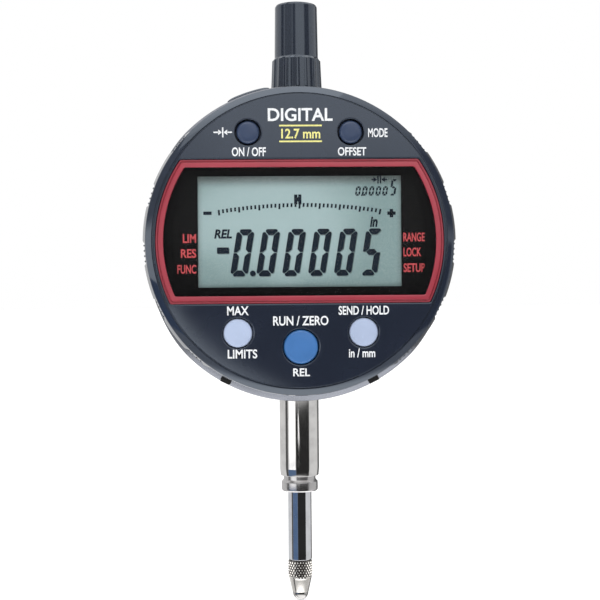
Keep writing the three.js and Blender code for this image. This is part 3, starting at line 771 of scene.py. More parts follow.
# %% Red frame and clear window
def window_frame():
    section = [
        (0.08, POCKET_Y, 0.03),
        (0.08, FACE_Y + 0.3, 0.1),
        (0.36, FACE_Y + 0.3, 0.04),
        (0.42, FACE_Y + 0.52, 0.03),
        (0.52, FACE_Y + 0.52, 0.03),
        (0.62, FACE_Y + 0.2, 0.1),
        (1.44, FACE_Y + 0.2, 0.07),
        (1.52, FACE_Y + 0.3, 0.03),
        (1.52, POCKET_Y, 0.03),
    ]
    loops = [window_loop(inset, y) for inset, y in rounded(section, closed=True)]
    return Shape().loft(loops, closed=True)


SHEET_BACK_Y = POCKET_Y - 0.03


def window_sheet():
    section = [(1.57, SHEET_BACK_Y), (1.57, FACE_Y + 0.34), (1.61, FACE_Y + 0.3)]
    return solid([window_loop(inset, y) for inset, y in section])


def window_border():
    section = [(1.55, SHEET_BACK_Y), (LEDGE + 0.4, SHEET_BACK_Y)]
    section += [(LEDGE + 0.4, POCKET_Y - 0.005), (1.55, POCKET_Y - 0.005)]
    return Shape().loft([window_loop(inset, y) for inset, y in section], closed=True)


fit(window_frame().piece("red_frame"), red_plastic, "display_unit", "red_trim", ["window_frame"], crisp=28)
fit(window_sheet().piece("clear_window"), window_clear, "display_unit", "window_clear", ["window_lens"])
fit(window_border().piece("window_border"), mask_black, "display_unit", "black_plastic")

# %% [markdown]
# ## Keys
# Each key is turned in one profile: a low dome, a soft shoulder, a flange behind the face that keeps
# it in, and a post that presses its switch. Its hole is a little wider, so a dark line rings it.

# %% Five keys
KEY_FINISHES = {
    "power": (dark_key_plastic, "key_dark"),
    "origin": (dark_key_plastic, "key_dark"),
    "peak": (pale_key_plastic, "key_pale"),
    "hold": (pale_key_plastic, "key_pale"),
    "zero": (blue_key_plastic, "key_blue"),
}


def key_profile(r, post_end):
    flange = WALL_BACK_Y + 0.6
    flange_r = r + KEY_FLANGE
    return [
        (0, FACE_Y - 0.3, 0),
        (r * 0.5, FACE_Y - 0.27, 3),
        (r - 0.3, FACE_Y - 0.14, 0.6),
        (r, FACE_Y + 0.25, 0.35),
        (r, flange, 0.05),
        (flange_r, flange, 0.05),
        (flange_r, flange + 0.6, 0.05),
        (1.1, flange + 0.6, 0.1),
        (1.1, post_end, 0.1),
        (0, post_end, 0),
    ]


for name, (x, z, r) in KEY_PLACES.items():
    post_end = corners(name + "_key")[1].y
    shape = turned(rounded(key_profile(r, post_end), 5), 64, "Y", (x, z))
    finish, slot_name = KEY_FINISHES[name]
    fit(shape.piece(name + "_key_top"), finish, name + "_button", slot_name, [name + "_key"], crisp=40)
print("keys:", len(KEY_PLACES))

# %% [markdown]
# ## Behind the face
# The rear plate closes the display unit and carries the hollow hub that it turns on. Its groove runs
# almost all the way round: the bridge left at the top meets the case's pin and ends the turn.

# %% Rear plate and hub
rear_low, rear_high = corners("display_back")
ring_low, ring_high = corners("retaining_ring")
UNIT_BACK_Y = CASE_FRONT_Y - 0.3
SEAT_Y = UNIT_BACK_Y - 0.8
HUB_R, HUB_BORE_R, HUB_GROOVE_R = 9.0, 6.5, 8.3
STOP_R, STOP_HALF_WIDTH = 14.0, 0.8
BRIDGE = 12.3
HUB_FRONT_Y = -7


def rear_plate():
    profile = [
        (HUB_BORE_R, rear_low.y, 0.1),
        (RIM_R - 0.5, rear_low.y, 0.15),
        (RIM_R - 0.5, UNIT_BACK_Y, 0.25),
        (HUB_R, UNIT_BACK_Y, 0.2),
        (HUB_R, ring_low.y - 0.05, 0.05),
        (HUB_GROOVE_R, ring_low.y - 0.05, 0),
        (HUB_GROOVE_R, ring_high.y + 0.05, 0),
        (HUB_R, ring_high.y + 0.05, 0.05),
        (HUB_R, rear_high.y, 0.08),
        (HUB_BORE_R, rear_high.y, 0.08),
    ]
    hole = [(0, -10), (1.1, -10), (1.1, SEAT_Y), (2.1, SEAT_Y), (2.1, HUB_FRONT_Y), (0, HUB_FRONT_Y)]
    cuts = [turned(hole, 40, "Y", place) for place in SCREW_PLACES]
    sections = []
    for i in range(181):
        a = math.radians(BRIDGE + (360 - 2 * BRIDGE) * i / 180)
        inner, outer = STOP_R - STOP_HALF_WIDTH, STOP_R + STOP_HALF_WIDTH
        corner_list = [(inner, SEAT_Y), (outer, SEAT_Y), (outer, HUB_FRONT_Y), (inner, HUB_FRONT_Y)]
        sections.append([(r * math.sin(a), y, HEAD_Z + r * math.cos(a)) for r, y in corner_list])
    cuts.append(solid(sections))
    plate = turned(rounded(profile, closed=True), 160, "Y", HEAD, closed=True)
    return machined("rear_plate", plate, cuts=cuts)


fit(rear_plate(), black_plastic, "display_unit", "black_plastic", ["display_back"])
print("rear plate made")

# %% [markdown]
# ## The case
# The case is a shallow metal cup, drawn in a little at both sides, behind the grips. A function of
# the angle gives the radius of its outline, and its rounded edges are lofted like the shell's. Bores
# and slots are cut afterwards, as they would be in the real casting.

# %% Case outline
CASE_WIDE, CASE_NARROW = 44, 74
COVER_SCREW_X, COVER_SCREW_Z = 21, 17
COVER_SCREWS = [
    (side * COVER_SCREW_X, HEAD_Z + end * COVER_SCREW_Z) for side in (-1, 1) for end in (-1, 1)
]


def case_loop(inset, y):
    """A loop of the case, moved inwards."""

    def radius_at(degrees):
        from_upright = abs((degrees + 90) % 180 - 90)
        wide = 1 - smooth(from_upright, CASE_WIDE, CASE_NARROW)
        return CASE_SIDE_R + (CASE_R - CASE_SIDE_R) * wide - inset

    return head_loop(radius_at, y)


def upright_rod(r, low, high):
    return turned([(0, low), (r, low), (r, high), (0, high)])


# %% Case
PORT_ANGLE, PLUG_ANGLE = -18, 28.4
FLOOR_Y = CASE_FRONT_Y + CASE_WALL
stem_low, stem_high = corners("stem")
tube_low = corners("guide_tube")[0]


def case_shape():
    section = [
        (2.4, CASE_FRONT_Y, 0),
        (1.2, CASE_FRONT_Y, 0.3),
        (0, CASE_FRONT_Y + 1.2, 0.6),
        (0, CASE_BACK_Y, 0.35),
        (CASE_WALL, CASE_BACK_Y, 0.15),
        (CASE_WALL, FLOOR_Y, 0.5),
        (CASE_WALL + 2, FLOOR_Y, 0),
    ]
    loops = [case_loop(inset, y) for inset, y in rounded(section, 5)]
    shape = Shape().loft(loops)
    fronts, backs = [], []
    for r, z in ((HUB_R + 0.08, HEAD_Z), (0.62, round_part("stop_pin")[1])):
        front, back = shape.wall([(r, CASE_FRONT_Y), (r, FLOOR_Y)], 96, (0, z))
        fronts.append(front)
        backs.append(back)
    post = [(2.6, FLOOR_Y), (2.6, CASE_BACK_Y), (1.05, CASE_BACK_Y), (1.05, 0), (0, 0)]
    backs += [shape.wall(post, 32, place)[0] for place in COVER_SCREWS]
    return shape.fill(loops[0], fronts).fill(loops[-1], backs)


def main_case():
    joins = []
    for low, high in ((19.5, stem_high.z - 0.1), (tube_low.z + 0.5, 80.5)):
        joins.append(upright_rod(5.5, low, high))
        joins.append(block((-3.5, FLOOR_Y - 0.1, low), (3.5, -3, high)))
    cuts = [upright_rod(4.02, 10, 28), upright_rod(3.52, 70, 90)]
    outside = HEAD_Z + 40
    openings = [block((-3.5, -2, HEAD_Z + 24), (3.5, 4, outside))]
    openings.append(block((-4.5, -3.5, HEAD_Z + 31), (4.5, 5.5, outside)))
    cuts += [opening.moved(about_head(PORT_ANGLE)) for opening in openings]
    for side in (-1, 1):
        slot = block((-1.1, CASE_FRONT_Y - 1, HEAD_Z + CASE_R - 1), (1.1, -1, outside))
        cuts.append(slot.moved(about_head(180 + side * PLUG_ANGLE)))
    return machined("case_body", case_shape(), joins, cuts)


case_piece = main_case()
fit(case_piece, case_metal, "case", "case_paint", ["main_case"], crisp=26)
print("case:", len(case_piece.data.polygons), "faces")

# %% [markdown]
# ## The back
# The back is a flat plate held by four cross-head screws, with the battery's lid beside the middle.
# A coin turns the lid, so its slot has a coin's curve, and a fine groove rings it.


# %% Back plate
lid_low, lid_high = corners("battery_cap")
*LID_PLACE, LID_R = round_part("battery_cap")


def back_plate():
    inner_y = corners("back_cover")[0].y
    section = [(2.4, inner_y, 0), (0.4, inner_y, 0.1), (0.4, BACK_Y, 0.45), (2.4, BACK_Y, 0)]
    loops = [case_loop(inset, y) for inset, y in rounded(section, 5)]
    shape = Shape().loft(loops)
    screw_hole = [(2.45, BACK_Y), (2.3, BACK_Y - 0.15), (2.3, BACK_Y - 0.8)]
    screw_hole += [(1.3, BACK_Y - 0.8), (1.3, inner_y)]
    seat = BACK_Y - 1
    lid_hole = [(LID_R + 0.25, BACK_Y), (LID_R + 0.1, BACK_Y - 0.15), (LID_R + 0.1, seat)]
    lid_hole += [(LID_R - 0.9, seat), (LID_R - 0.9, inner_y)]
    fronts, backs = [], []
    for place, hole, sides in [(p, screw_hole, 48) for p in COVER_SCREWS] + [(LID_PLACE, lid_hole, 96)]:
        back, front = shape.wall(hole, sides, place)
        backs.append(back)
        fronts.append(front)
    return shape.fill(loops[0], fronts).fill(loops[-1], backs)


fit(back_plate().piece("back_plate"), case_metal, "case", "case_paint", ["back_cover"], crisp=28)


# %% Battery lid with a coin slot
def battery_lid():
    x, z = LID_PLACE
    inner_y = lid_low.y
    profile = [
        (0, inner_y, 0),
        (LID_R - 1.1, inner_y, 0.1),
        (LID_R - 1.1, BACK_Y - 0.95, 0.05),
        (LID_R, BACK_Y - 0.95, 0.08),
        (LID_R, lid_high.y, 0.3),
        (LID_R - 1.2, lid_high.y, 0.1),
        (LID_R - 1.35, lid_high.y - 0.12, 0.08),
        (LID_R - 1.6, lid_high.y - 0.12, 0.08),
        (LID_R - 1.75, lid_high.y, 0.1),
        (0, lid_high.y, 0),
    ]
    loops = []
    for i in range(25):
        along = -5 + 10 * i / 24
        depth = 0.7 * math.sqrt(max(0.0, 1 - (along / 5.001) ** 2)) ** 0.6
        floor = lid_high.y + 0.05 - depth
        ends = [(z - 0.7, floor), (z + 0.7, floor), (z + 0.7, 9), (z - 0.7, 9)]
        loops.append([(x + along, y, height) for height, y in ends])
    lid = turned(rounded(profile), 96, "Y", LID_PLACE)
    return machined("battery_lid_top", lid, cuts=[solid(loops)])


fit(battery_lid(), black_plastic, "battery_lid", "black_plastic", ["battery_cap"], crisp=30)
print("battery lid made")

# %% [markdown]
# The four screws are alike and stand on a rectangle, so one is made with its cross recess, and
# Geometry Nodes set a copy on each corner of a 2 by 2 grid.


# %% Cover screws
def cover_screw():
    top = BACK_Y - 0.15
    seat = BACK_Y - 0.75
    profile = [(0, 1, 0), (0.9, 1, 0.2), (0.9, seat, 0.05), (2.1, seat, 0.05), (2.1, top - 0.2, 0.15)]
    profile += [(1.6, top, 0.3), (0, top, 0)]
    cuts = []
    for wide, tall in ((1.1, 0.2), (0.2, 1.1)):
        signs = ((-1, -1), (1, -1), (1, 1), (-1, 1))
        levels = ((0.8, top - 0.35), (1.0, top + 0.1))
        cuts.append(solid([[(a * wide * s, y, b * tall * s) for a, b in signs] for s, y in levels]))
    return machined("cover_screw", turned(rounded(profile), 48, "Y"), cuts=cuts)


def cover_screws():
    pattern = cover_screw()
    pattern.data.transform(Matrix.Scale(1000, 4))
    width, height = 2.0 * COVER_SCREW_X, 2.0 * COVER_SCREW_Z
    inputs = {"Screw": pattern, "Width": width, "Height": height, "Finish": screw_steel}
    growth = Growth("cover_screws", inputs)
    size = {"Size X": growth.given("Width"), "Size Y": growth.given("Height")}
    grid = growth.node("GeometryNodeMeshGrid", None, {**size, "Vertices X": 2, "Vertices Y": 2})
    upright = {"Geometry": grid, "Rotation": (math.pi / 2, 0, 0), "Translation": (0, 0, HEAD_Z)}
    corners_of_grid = growth.node("GeometryNodeTransform", None, upright)
    screw = growth.node("GeometryNodeObjectInfo", None, {"Object": growth.given("Screw")}, output=4)
    made = growth.grown(corners_of_grid, screw)
    bpy.data.objects.remove(pattern)
    return made


screws_piece = cover_screws()
fit(screws_piece, screw_steel, "case", "bright_steel", [f"cover_screw_{i}" for i in range(1, 5)])
print("cover screws:", len(screws_piece.data.polygons), "faces")

# %% [markdown]
# ## The port cover
# A low moulded cover closes the data port. Its top follows the case's curve, and two small grooves
# let a fingernail lift it.


# %% Port cover
def port_cover():
    half, low, high = 4.4, HEAD_Z + 31.05, 32.3
    front, back = -3.4, 5.4

    def section(y, inset):
        points = [(-half + inset, y, low), (half - inset, y, low)]
        for i in range(25):
            a = math.asin((half - inset - 0.001) / high) * (1 - i / 12)
            fade = 1 - min(1.0, abs(i - 12) / 12) ** 8
            z = HEAD_Z + (high - inset) * math.cos(a) - 0.25 * (1 - fade)
            points.append((high * math.sin(a), y, z))
        return points

    side = [(1.2, front, 0), (0, front, 0.45), (0, back, 0.45), (1.2, back, 0)]
    shape = solid([section(y, inset) for inset, y in rounded(side, 5)])
    grooves = [block((-2.6, y - 0.22, HEAD_Z + 32.0), (2.6, y + 0.22, HEAD_Z + 33), 0.1) for y in (3.2, 4.2)]
    piece = machined("port_cover_top", shape, cuts=grooves)
    piece.data.transform(about_head(PORT_ANGLE, 0.001))
    return piece


fit(port_cover(), slate_plastic, "port_lid", "face_plastic", ["port_cover"])
print("port cover made")

# %% [markdown]
# ## Stem, spindle and contact
# These are all turned on one axis. What makes them read as real steel is their edges: a chamfer, a
# rolled corner, a groove. So each gets a full profile with small fillets.


# %% Stem and its end ring
def stem():
    r, low, high = 4.0, stem_low.z, stem_high.z
    profile = [(3.3, low, 0.05), (r - 0.12, low, 0.1), (r, low + 1.45, 0.03)]
    profile += [(r, high, 0.1), (3.3, high, 0.1)]
    return turned(rounded(profile, closed=True), 128, closed=True)


def end_ring():
    profile = [
        (2.55, 0, 0.12),
        (3.45, 0, 0.1),
        (3.7, 0.25, 0.15),
        (3.7, 1.85, 0.15),
        (3.45, 2.1, 0.05),
        (3.25, 2.35, 0.05),
        (3.25, 5, 0.05),
        (2.55, 5, 0.05),
    ]
    return turned(rounded(profile, closed=True), 96, closed=True)


fit(stem().piece("stem_tube"), stem_steel, "case", "bright_steel", ["stem"], crisp=22)
fit(end_ring().piece("end_ring"), ring_steel, "case", "bright_steel", ["stem_end_ring"], crisp=25)


# %% Spindle
spindle_low, spindle_high = corners("spindle")


def spindle_rod():
    r, low, high = 2.4, spindle_low.z, spindle_high.z
    profile = [(0, -8.5, 0), (1.3, -8.5, 0), (1.3, low, 0.05), (r - 0.1, low, 0.03), (r, low + 0.1, 0.1)]
    profile += [(r, high - 0.3, 0.1), (r - 0.3, high, 0.1), (0, high, 0)]
    return turned(rounded(profile), 96)


fit(spindle_rod().piece("spindle_rod"), spindle_steel, "plunger", "bright_steel", ["spindle"], crisp=25)

# %% [markdown]
# The contact point screws into the spindle by hand, so it has a diamond knurl. A knurl is two sets of
# V grooves, one winding each way. On a fine grid of angles and heights, the depth at each point is
# the nearer of the two grooves, which leaves rows of little pyramids.


# %% Contact point
point_low, point_high = corners("contact_point")
POINT_R = 2.5
ball_low, ball_high = corners("contact_ball")
KNURL_AROUND = 24
KNURL_PITCH = 1.0
KNURL_DEPTH = 0.25


def shaped_loop(radius_at, z, sides):
    """A loop about the spindle, whose radius follows from the angle."""
    turns = [(radius_at(a), a) for a in (2 * math.pi * i / sides for i in range(sides))]
    return [(r * math.cos(a), r * math.sin(a), z) for r, a in turns]


def knurl(angle, z):
    """How far below the crests the surface lies, from 0 to 1."""
    turns = KNURL_AROUND * angle / (2 * math.pi)
    rise = z / KNURL_PITCH
    slopes = [abs((turns + side * rise) % 1 - 0.5) * 2 for side in (-1, 1)]
    return min(1.0, max(slopes) / 0.8)


def contact_point():
    sides = KNURL_AROUND * 10
    loops = [[(0, 0, point_high.z)]]
    loops += [circle(r, z, sides) for r, z in ((1.2, point_high.z), (1.2, KNURL_TOP), (2.2, KNURL_TOP))]
    for i in range(57):
        z = KNURL_TOP - 0.06 + (KNURL_END - KNURL_TOP) * i / 56
        ends = smooth(KNURL_TOP - z, 0.0, 0.3) * smooth(z - KNURL_END, -0.06, 0.35)
        crest = POINT_R - 0.22 * (1 - ends)
        loops.append(shaped_loop(lambda a: crest - KNURL_DEPTH * ends * knurl(a, z), z, sides))
    tail = [(2.3, KNURL_END - 0.1, 0), (2.22, KNURL_END - 0.35, 0.2), (1.65, point_low.z, 0.1)]
    tail.append((1.2, point_low.z, 0))
    loops += [circle(r, z, sides) for r, z in rounded(tail)]
    loops.append([(0, 0, point_low.z)])
    return Shape().loft(loops)


def contact_ball():
    r = (ball_high.x - ball_low.x) / 2
    middle = ball_low.z + r
    arc = [math.radians(-90 + 180 * i / 32) for i in range(33)]
    profile = [(r * math.cos(a), middle + r * math.sin(a)) for a in arc]
    profile[0], profile[-1] = (0, middle - r), (0, middle + r)
    return turned(profile, 64)


point_piece = contact_point().piece("knurled_point")
fit(point_piece, contact_steel, "plunger", "bright_steel", ["contact_point"], crisp=18)
fit(contact_ball().piece("ball"), carbide, "plunger", "carbide", ["contact_ball"])
print("contact point:", len(point_piece.data.polygons), "faces")

# %% [markdown]
# ## The spindle cap
# A fluted cap covers the spindle's upper end. Each flute is the hollow that a round cutter leaves: the
# radius there is the distance from the axis to the cutter's circle, wherever that is less.

# %% Fluted cap
cap_low, cap_high = corners("spindle_cap")
CAP_R = (cap_high.x - cap_low.x) / 2
FLUTES = 16
CUTTER_R = 2.3
FLUTE_DEPTH = 0.2
COLLAR_TOP = 87.4
COLLAR_TAPER = 0.25
SLEEVE_R = 4.42


def fluted(r, z, angle):
    """The cap's radius at a height and angle, with its flutes."""
    away = ((angle / (2 * math.pi) * FLUTES) % 1 - 0.5) * 2 * math.pi / FLUTES
    taper = COLLAR_TAPER * (z - cap_low.z) / (COLLAR_TOP - cap_low.z)
    centre = CAP_R - taper + CUTTER_R - FLUTE_DEPTH
    across = centre * math.sin(away)
    return min(r, centre * math.cos(away) - math.sqrt(CUTTER_R**2 - across**2))


def spindle_cap():
    top = cap_high.z
    outside = [
        (3.65, cap_low.z, 0.08),
        (CAP_R, cap_low.z, 0.15),
        (CAP_R - COLLAR_TAPER, COLLAR_TOP, 0.15),
        (SLEEVE_R, COLLAR_TOP + 0.5, 0.2),
        (4.27, top - 0.5, 0.12),
        (4.05, top - 0.12, 0.12),
        (3.6, top, 0.1),
        (2.1, top, 0),
    ]
    outline = rounded(outside, 6)
    profile = []
    for one, two in zip(outline, outline[1:]):
        steps = 16 if abs(two[1] - one[1]) > 2 else 1
        for i in range(steps):
            share = i / steps
            profile.append((one[0] + (two[0] - one[0]) * share, one[1] + (two[1] - one[1]) * share))
    profile += [(2.1, top), (2.02, top - 0.1), (1.88, top - 0.1), (1.8, top), (0, top)]
    sides = FLUTES * 16
    loops = []
    for r, z in profile:
        on_collar = r > SLEEVE_R + 0.03
        loops.append(shaped_loop(lambda a: fluted(r, z, a), z, sides) if on_collar else circle(r, z, sides))
    inside = [(3.65, cap_low.z), (3.65, 90.3), (3.2, 90.8), (3.2, 97.5), (0, 97.5)]
    hollow = [circle(r, z, sides) for r, z in inside]
    return Shape().loft(loops).loft(hollow)


cap_piece = spindle_cap().piece("fluted_cap")
fit(cap_piece, cap_plastic, "cap", "cap_plastic", ["spindle_cap"], crisp=30)
print("cap:", len(cap_piece.data.polygons), "faces")

# %% [markdown]
# ## What the display shows
# Liquid crystal segments lie in the glass, a hair above the reflector. The faint shadow each would cast
# on it is painted: a see-through dark copy of the digits, set a little right and down. The digits are
# seven-bar figures that lean forward. Each bar is cut from plain outlines, which keeps their mitred gaps
# crisp, and every lit bar is a thin plate of ink.


# %% Seven-bar figures
def bars(width, height, stroke, gap):
    """The outlines of a figure's seven bars, from its lower left corner."""
    w, h, t, g, m = width, height, stroke, gap, height / 2
    half = t / 2
    outer = 0.42 * t
    top = [(g, h, outer), (w - g, h, outer), (w - t - g, h - t, 0), (t + g, h - t, 0)]
    right = [(w, h - g, outer), (w - t, h - t - g, 0), (w - t, m + half + g, 0)]
    right += [(w - half, m + g, 0), (w, m + g, 0)]
    middle = [(half + g, m, 0), (t + g, m + half, 0), (w - t - g, m + half, 0), (w - half - g, m, 0)]
    middle += [(w - t - g, m - half, 0), (t + g, m - half, 0)]
    shapes = {"top": top, "upper_right": right, "middle": middle}
    shapes["upper_left"] = [(w - x, z, r) for x, z, r in right]
    for name, source in (("bottom", "top"), ("lower_right", "upper_right"), ("lower_left", "upper_left")):
        shapes[name] = [(x, h - z, r) for x, z, r in shapes[source]]
    return {name: rounded(outline, 3, closed=True) for name, outline in shapes.items()}


LIT = {
    "0": ("top", "upper_left", "upper_right", "lower_left", "lower_right", "bottom"),
    "5": ("top", "upper_left", "middle", "lower_right", "bottom"),
}
LEAN = math.tan(math.radians(9.3))


def figures(text, x, z, pitch, width, height, stroke, gap):
    """The outlines of a row of figures."""
    outlines = []
    for i, figure in enumerate(text):
        shapes = bars(width, height, stroke, gap)
        for name in LIT[figure]:
            outlines.append([(x + pitch * i + a + b * LEAN, z + b) for a, b in shapes[name]])
    return outlines


def plates(outlines, front, back, shift=(0, 0)):
    """Flat outlines round the head's centre, made solid between two y planes."""
    shape = Shape()
    for outline in outlines:
        loops = [[(x + shift[0], y, HEAD_Z + z + shift[1]) for x, z in outline] for y in (front, back)]
        shape.loft(loops).fill(loops[0]).fill(loops[1])
    return shape


def bar(x0, x1, z0, z1, soften=0.08):
    return rounded([(x0, z0, soften), (x1, z0, soften), (x1, z1, soften), (x0, z1, soften)], 3, closed=True)


def dot(x, z, r, sides=24):
    angles = [2 * math.pi * i / sides for i in range(sides)]
    return [(x + r * math.cos(a), z + r * math.sin(a)) for a in angles]


def arrowhead(base, tip, z, half):
    return [(base, z + half), (tip, z), (base, z - half)]


# %% Readout
GLASS_Y = lcd_low.y
readout = figures("000005", -13.42, -6.65, 4.945, 3.35, 9.0, 1.14, 0.07)
readout.append(dot(-9.05, -6.1, 0.55))
readout.append(bar(-15.85, -13.55, -2.28, -1.1, 0.15))
small_row = figures("00000", 10.6, 8.62, 1.3, 0.95, 1.8, 0.36, 0.05)
small_row += figures("5", 17.2, 8.62, 1.3, 1.15, 3.14, 0.4, 0.05)
small_row.append(dot(11.95, 8.74, 0.18, 12))
marks = [bar(-18.4, -16.8, 5.12, 5.77), bar(16.8, 18.4, 4.93, 5.58), bar(17.28, 17.93, 4.45, 6.05)]
for side in (1, -1):
    marks.append([(-0.33 + side * x, z) for x, z in ((0.7, 7.05), (0.7, 8.93), (0.08, 8.93), (0.08, 7.05))])
marks.append(bar(-0.5, -0.16, 7.6, 8.4, 0.02))
arrows = [bar(x - 0.13, x + 0.13, 10.95, 12.45, 0.02) for x in (15.07, 15.55)]
arrows += [arrowhead(base, tip, 11.7, 0.5) for base, tip in ((14.2, 14.9), (16.42, 15.72))]
arrows += [bar(x, x + 0.45, 11.57, 11.83, 0.02) for x in (13.78, 16.38)]
lit = readout + small_row + marks + arrows
ink = plates(lit, GLASS_Y - 0.02, GLASS_Y - 0.012)
fit(ink.piece("readout"), segment_ink, "display_unit", "black_plastic")
# Painted shadow of the digits: a see-through dark copy, shifted right and down, just behind the ink.
shadow = plates(readout, GLASS_Y - 0.006, GLASS_Y + 0.02, (0.12, -0.16))
fit(shadow.piece("readout_shadow"), painted_segment_shadow, "display_unit", "display_glass")
print("readout:", len(lit), "plates")


# %% [markdown]
# A curved scale stands over the digits, like the scale of a clock-type indicator. Its ticks follow
# a rule: even steps across, a height on a large circle, a lean with that circle, and every fifth
# tick longer. Geometry Nodes work all of it out from each tick's number.


# %% Curved scale
def curved_scale():
    inputs = {"Ticks": 41, "Step": 0.77, "Circle": 98.0, "Top": 6.92, "Thickness": 0.36, "Short": 0.75}
    inputs.update({"Long": 1.07, "Lean": math.radians(4), "Finish": segment_ink})
    growth = Growth("curved_scale", inputs)
    count, step, circle_r, top, thick, short, long, lean, _ = map(growth.given, inputs)
    number = growth.node("GeometryNodeInputIndex")
    across = (number - (count - 1) * 0.5) * step
    height = (circle_r * circle_r - across * across).apply("SQRT") - circle_r + top
    fifth = number.apply("MODULO", 5.0).apply("LESS_THAN", 0.5)
    longer = (long - short) * fifth
    middle = height - longer * 0.5 + HEAD_Z
    points = line_points(growth, count, lambda _: (across, GLASS_Y - 0.016, middle))
    tick = growth.node("GeometryNodeMeshCube", None, {"Size": (1, 1, 1)})
    turn = growth.node("ShaderNodeCombineXYZ", None, {1: (across / circle_r).apply("ARCSINE") + lean})
    size = growth.node("ShaderNodeCombineXYZ", None, {0: thick, 1: 0.008, 2: short + longer})
    return growth.grown(points, tick, turn, size)


scale_piece = curved_scale()
fit(scale_piece, segment_ink, "display_unit", "black_plastic")
print("scale ticks:", len(scale_piece.data.polygons) // 6)

# %% [markdown]
# ## Printed words
# The words beside the keys are screen-printed: a film of ink a few hundredths of a millimetre proud.
# Blender's own font is turned into a mesh, fitted to its width and height, and given that thickness.


# %% Lettering
def lettering(words, front, back, bold=0.02, lean=0.0):
    """Words as thin plates. Each is (text, x, z, width, height), from the head's centre."""
    shape = Shape()
    for text, x, z, width, height in words:
        font = bpy.data.curves.new("word", "FONT")
        font.body, font.shear, font.offset = text, lean, bold
        font.extrude, font.resolution_u = 0.5, 4
        made = linked("word", font)
        evaluated = made.evaluated_get(bpy.context.evaluated_depsgraph_get())
        mesh = bpy.data.meshes.new_from_object(evaluated)
        spots = [v.co.copy() for v in mesh.vertices]
        low = [min(s[i] for s in spots) for i in range(3)]
        high = [max(s[i] for s in spots) for i in range(3)]
        wide, tall = width / (high[0] - low[0]), height / (high[1] - low[1])
        start = len(shape.points)
        for s in spots:
            depth = (s.z - low[2]) / (high[2] - low[2])
            a = x + (s.x - (low[0] + high[0]) / 2) * wide
            b = z + (s.y - (low[1] + high[1]) / 2) * tall
            shape.points.append((a, back + (front - back) * depth, HEAD_Z + b))
        shape.faces += [tuple(i + start for i in face.vertices) for face in mesh.polygons]
        bpy.data.objects.remove(made)
    return shape


FACE_WORDS = [
    ("ON / OFF", -9.58, 16.92, 6.45, 1.7),
    ("OFFSET", 10.0, 16.9, 5.4, 1.6),
    ("MODE", 14.94, 20.43, 3.7, 1.7),
    ("DIGITAL", 0.2, 23.94, 12.3, 2.5),
    ("MAX", -11.9, -13.2, 4.1, 1.7),
    ("RUN / ZERO", 0, -15.18, 10.5, 1.8),
    ("SEND / HOLD", 12.0, -13.3, 9.6, 1.7),
    ("LIMITS", -11.1, -21.4, 5.6, 1.7),
    ("in / mm", 11.6, -21.4, 5.0, 1.7),
    ("REL", 0.08, -24.97, 3.2, 1.5),
]
LEFT_WORDS = (("LIM", 2.5), ("RES", 2.9), ("FUNC", 3.6))
RIGHT_WORDS = (("RANGE", 4.1), ("LOCK", 3.4), ("SETUP", 4.1))
SIDE_ROWS = (0.64, -2.22, -5.23)
INK_FRONT_Y, INK_BACK_Y = FACE_Y - 0.025, FACE_Y + 0.01

white = lettering(FACE_WORDS, INK_FRONT_Y, INK_BACK_Y)
symbol = [bar(-14.63, -14.37, 19.67, 21.57, 0)]
symbol += [bar(x, x + 1.0, 20.5, 20.76, 0) for x in (-16.25, -13.75)]
symbol += [arrowhead(base, tip, 20.63, 0.52) for base, tip in ((-15.35, -14.68), (-13.65, -14.32))]
white.add(plates(symbol, INK_FRONT_Y, INK_BACK_Y))
fit(white.piece("white_words"), white_ink, "display_unit", "key_pale")

yellow = lettering([("12.7 mm", 0.28, 20.32, 7.4, 1.9)], INK_FRONT_Y, INK_BACK_Y)
lines = [bar(-3.8, 4.3, z - 0.15, z + 0.15, 0) for z in (18.85, 21.85)]
yellow.add(plates(lines, INK_FRONT_Y, INK_BACK_Y))
fit(yellow.piece("yellow_words"), yellow_ink, "display_unit", "brass")

MASK_Y = corners("display_mask")[0].y
reds = []
for side, margin, side_words in ((-1, 19.8, LEFT_WORDS), (1, 19.83, RIGHT_WORDS)):
    for (text, width), z in zip(side_words, SIDE_ROWS):
        reds.append((text, side * (margin + width / 2), z, width, 1.7))
red = lettering(reds, MASK_Y - 0.02, MASK_Y + 0.01)
fit(red.piece("red_words"), red_ink, "display_unit", "red_trim")

words = [("REL", -14.65, 1.47, 3.4, 1.75), ("in", 14.2, 3.63, 1.5, 2.0)]
signs = lettering(words, GLASS_Y - 0.02, GLASS_Y - 0.012, 0.04, 0.2)
fit(signs.piece("display_words"), segment_ink, "display_unit", "black_plastic")
print("words:", len(FACE_WORDS) + len(reds) + len(words) + 1)

# %% [markdown]
# ## Pieces kept from the mechanical model
# Pieces that are simple in life keep their shapes, and take only a finish.

# %% Kept pieces
KEPT = {
    mask_black: ["display_mask"],
    reflector: ["lcd_panel"],
    black_plastic: ["lcd_holder", "processor_chip", "battery_holder", "pickup_head", "data_connector"],
    rubber: ["zebra_strip_upper", "zebra_strip_lower", "display_seal", "back_gasket"],
    board_green: ["display_board", "detector_board"],
    ribbon_amber: ["signal_ribbon"],
    brass: ["battery_contact", "lower_bush", "upper_bush", "guide_rail", "scale_bracket"],
    cell_steel: ["battery_cell"],
    screw_steel: ["retaining_ring", "stop_pin", *[f"display_screw_{i}" for i in range(1, 5)]],
    ring_steel: ["guide_tube", "guide_pin", "return_spring"],
    scale_glass: ["linear_scale"],
}
KEPT[rubber] += ["rim_plug_left", "rim_plug_right"]
KEPT[ring_steel] += [f"{key}_switch" for key in KEY_PLACES]
for finish, nodes in KEPT.items():
    for node in nodes:
        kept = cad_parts[node]
        kept.data.materials.clear()
        kept.data.materials.append(finish)
print("kept pieces:", sum(len(nodes) for nodes in KEPT.values()))

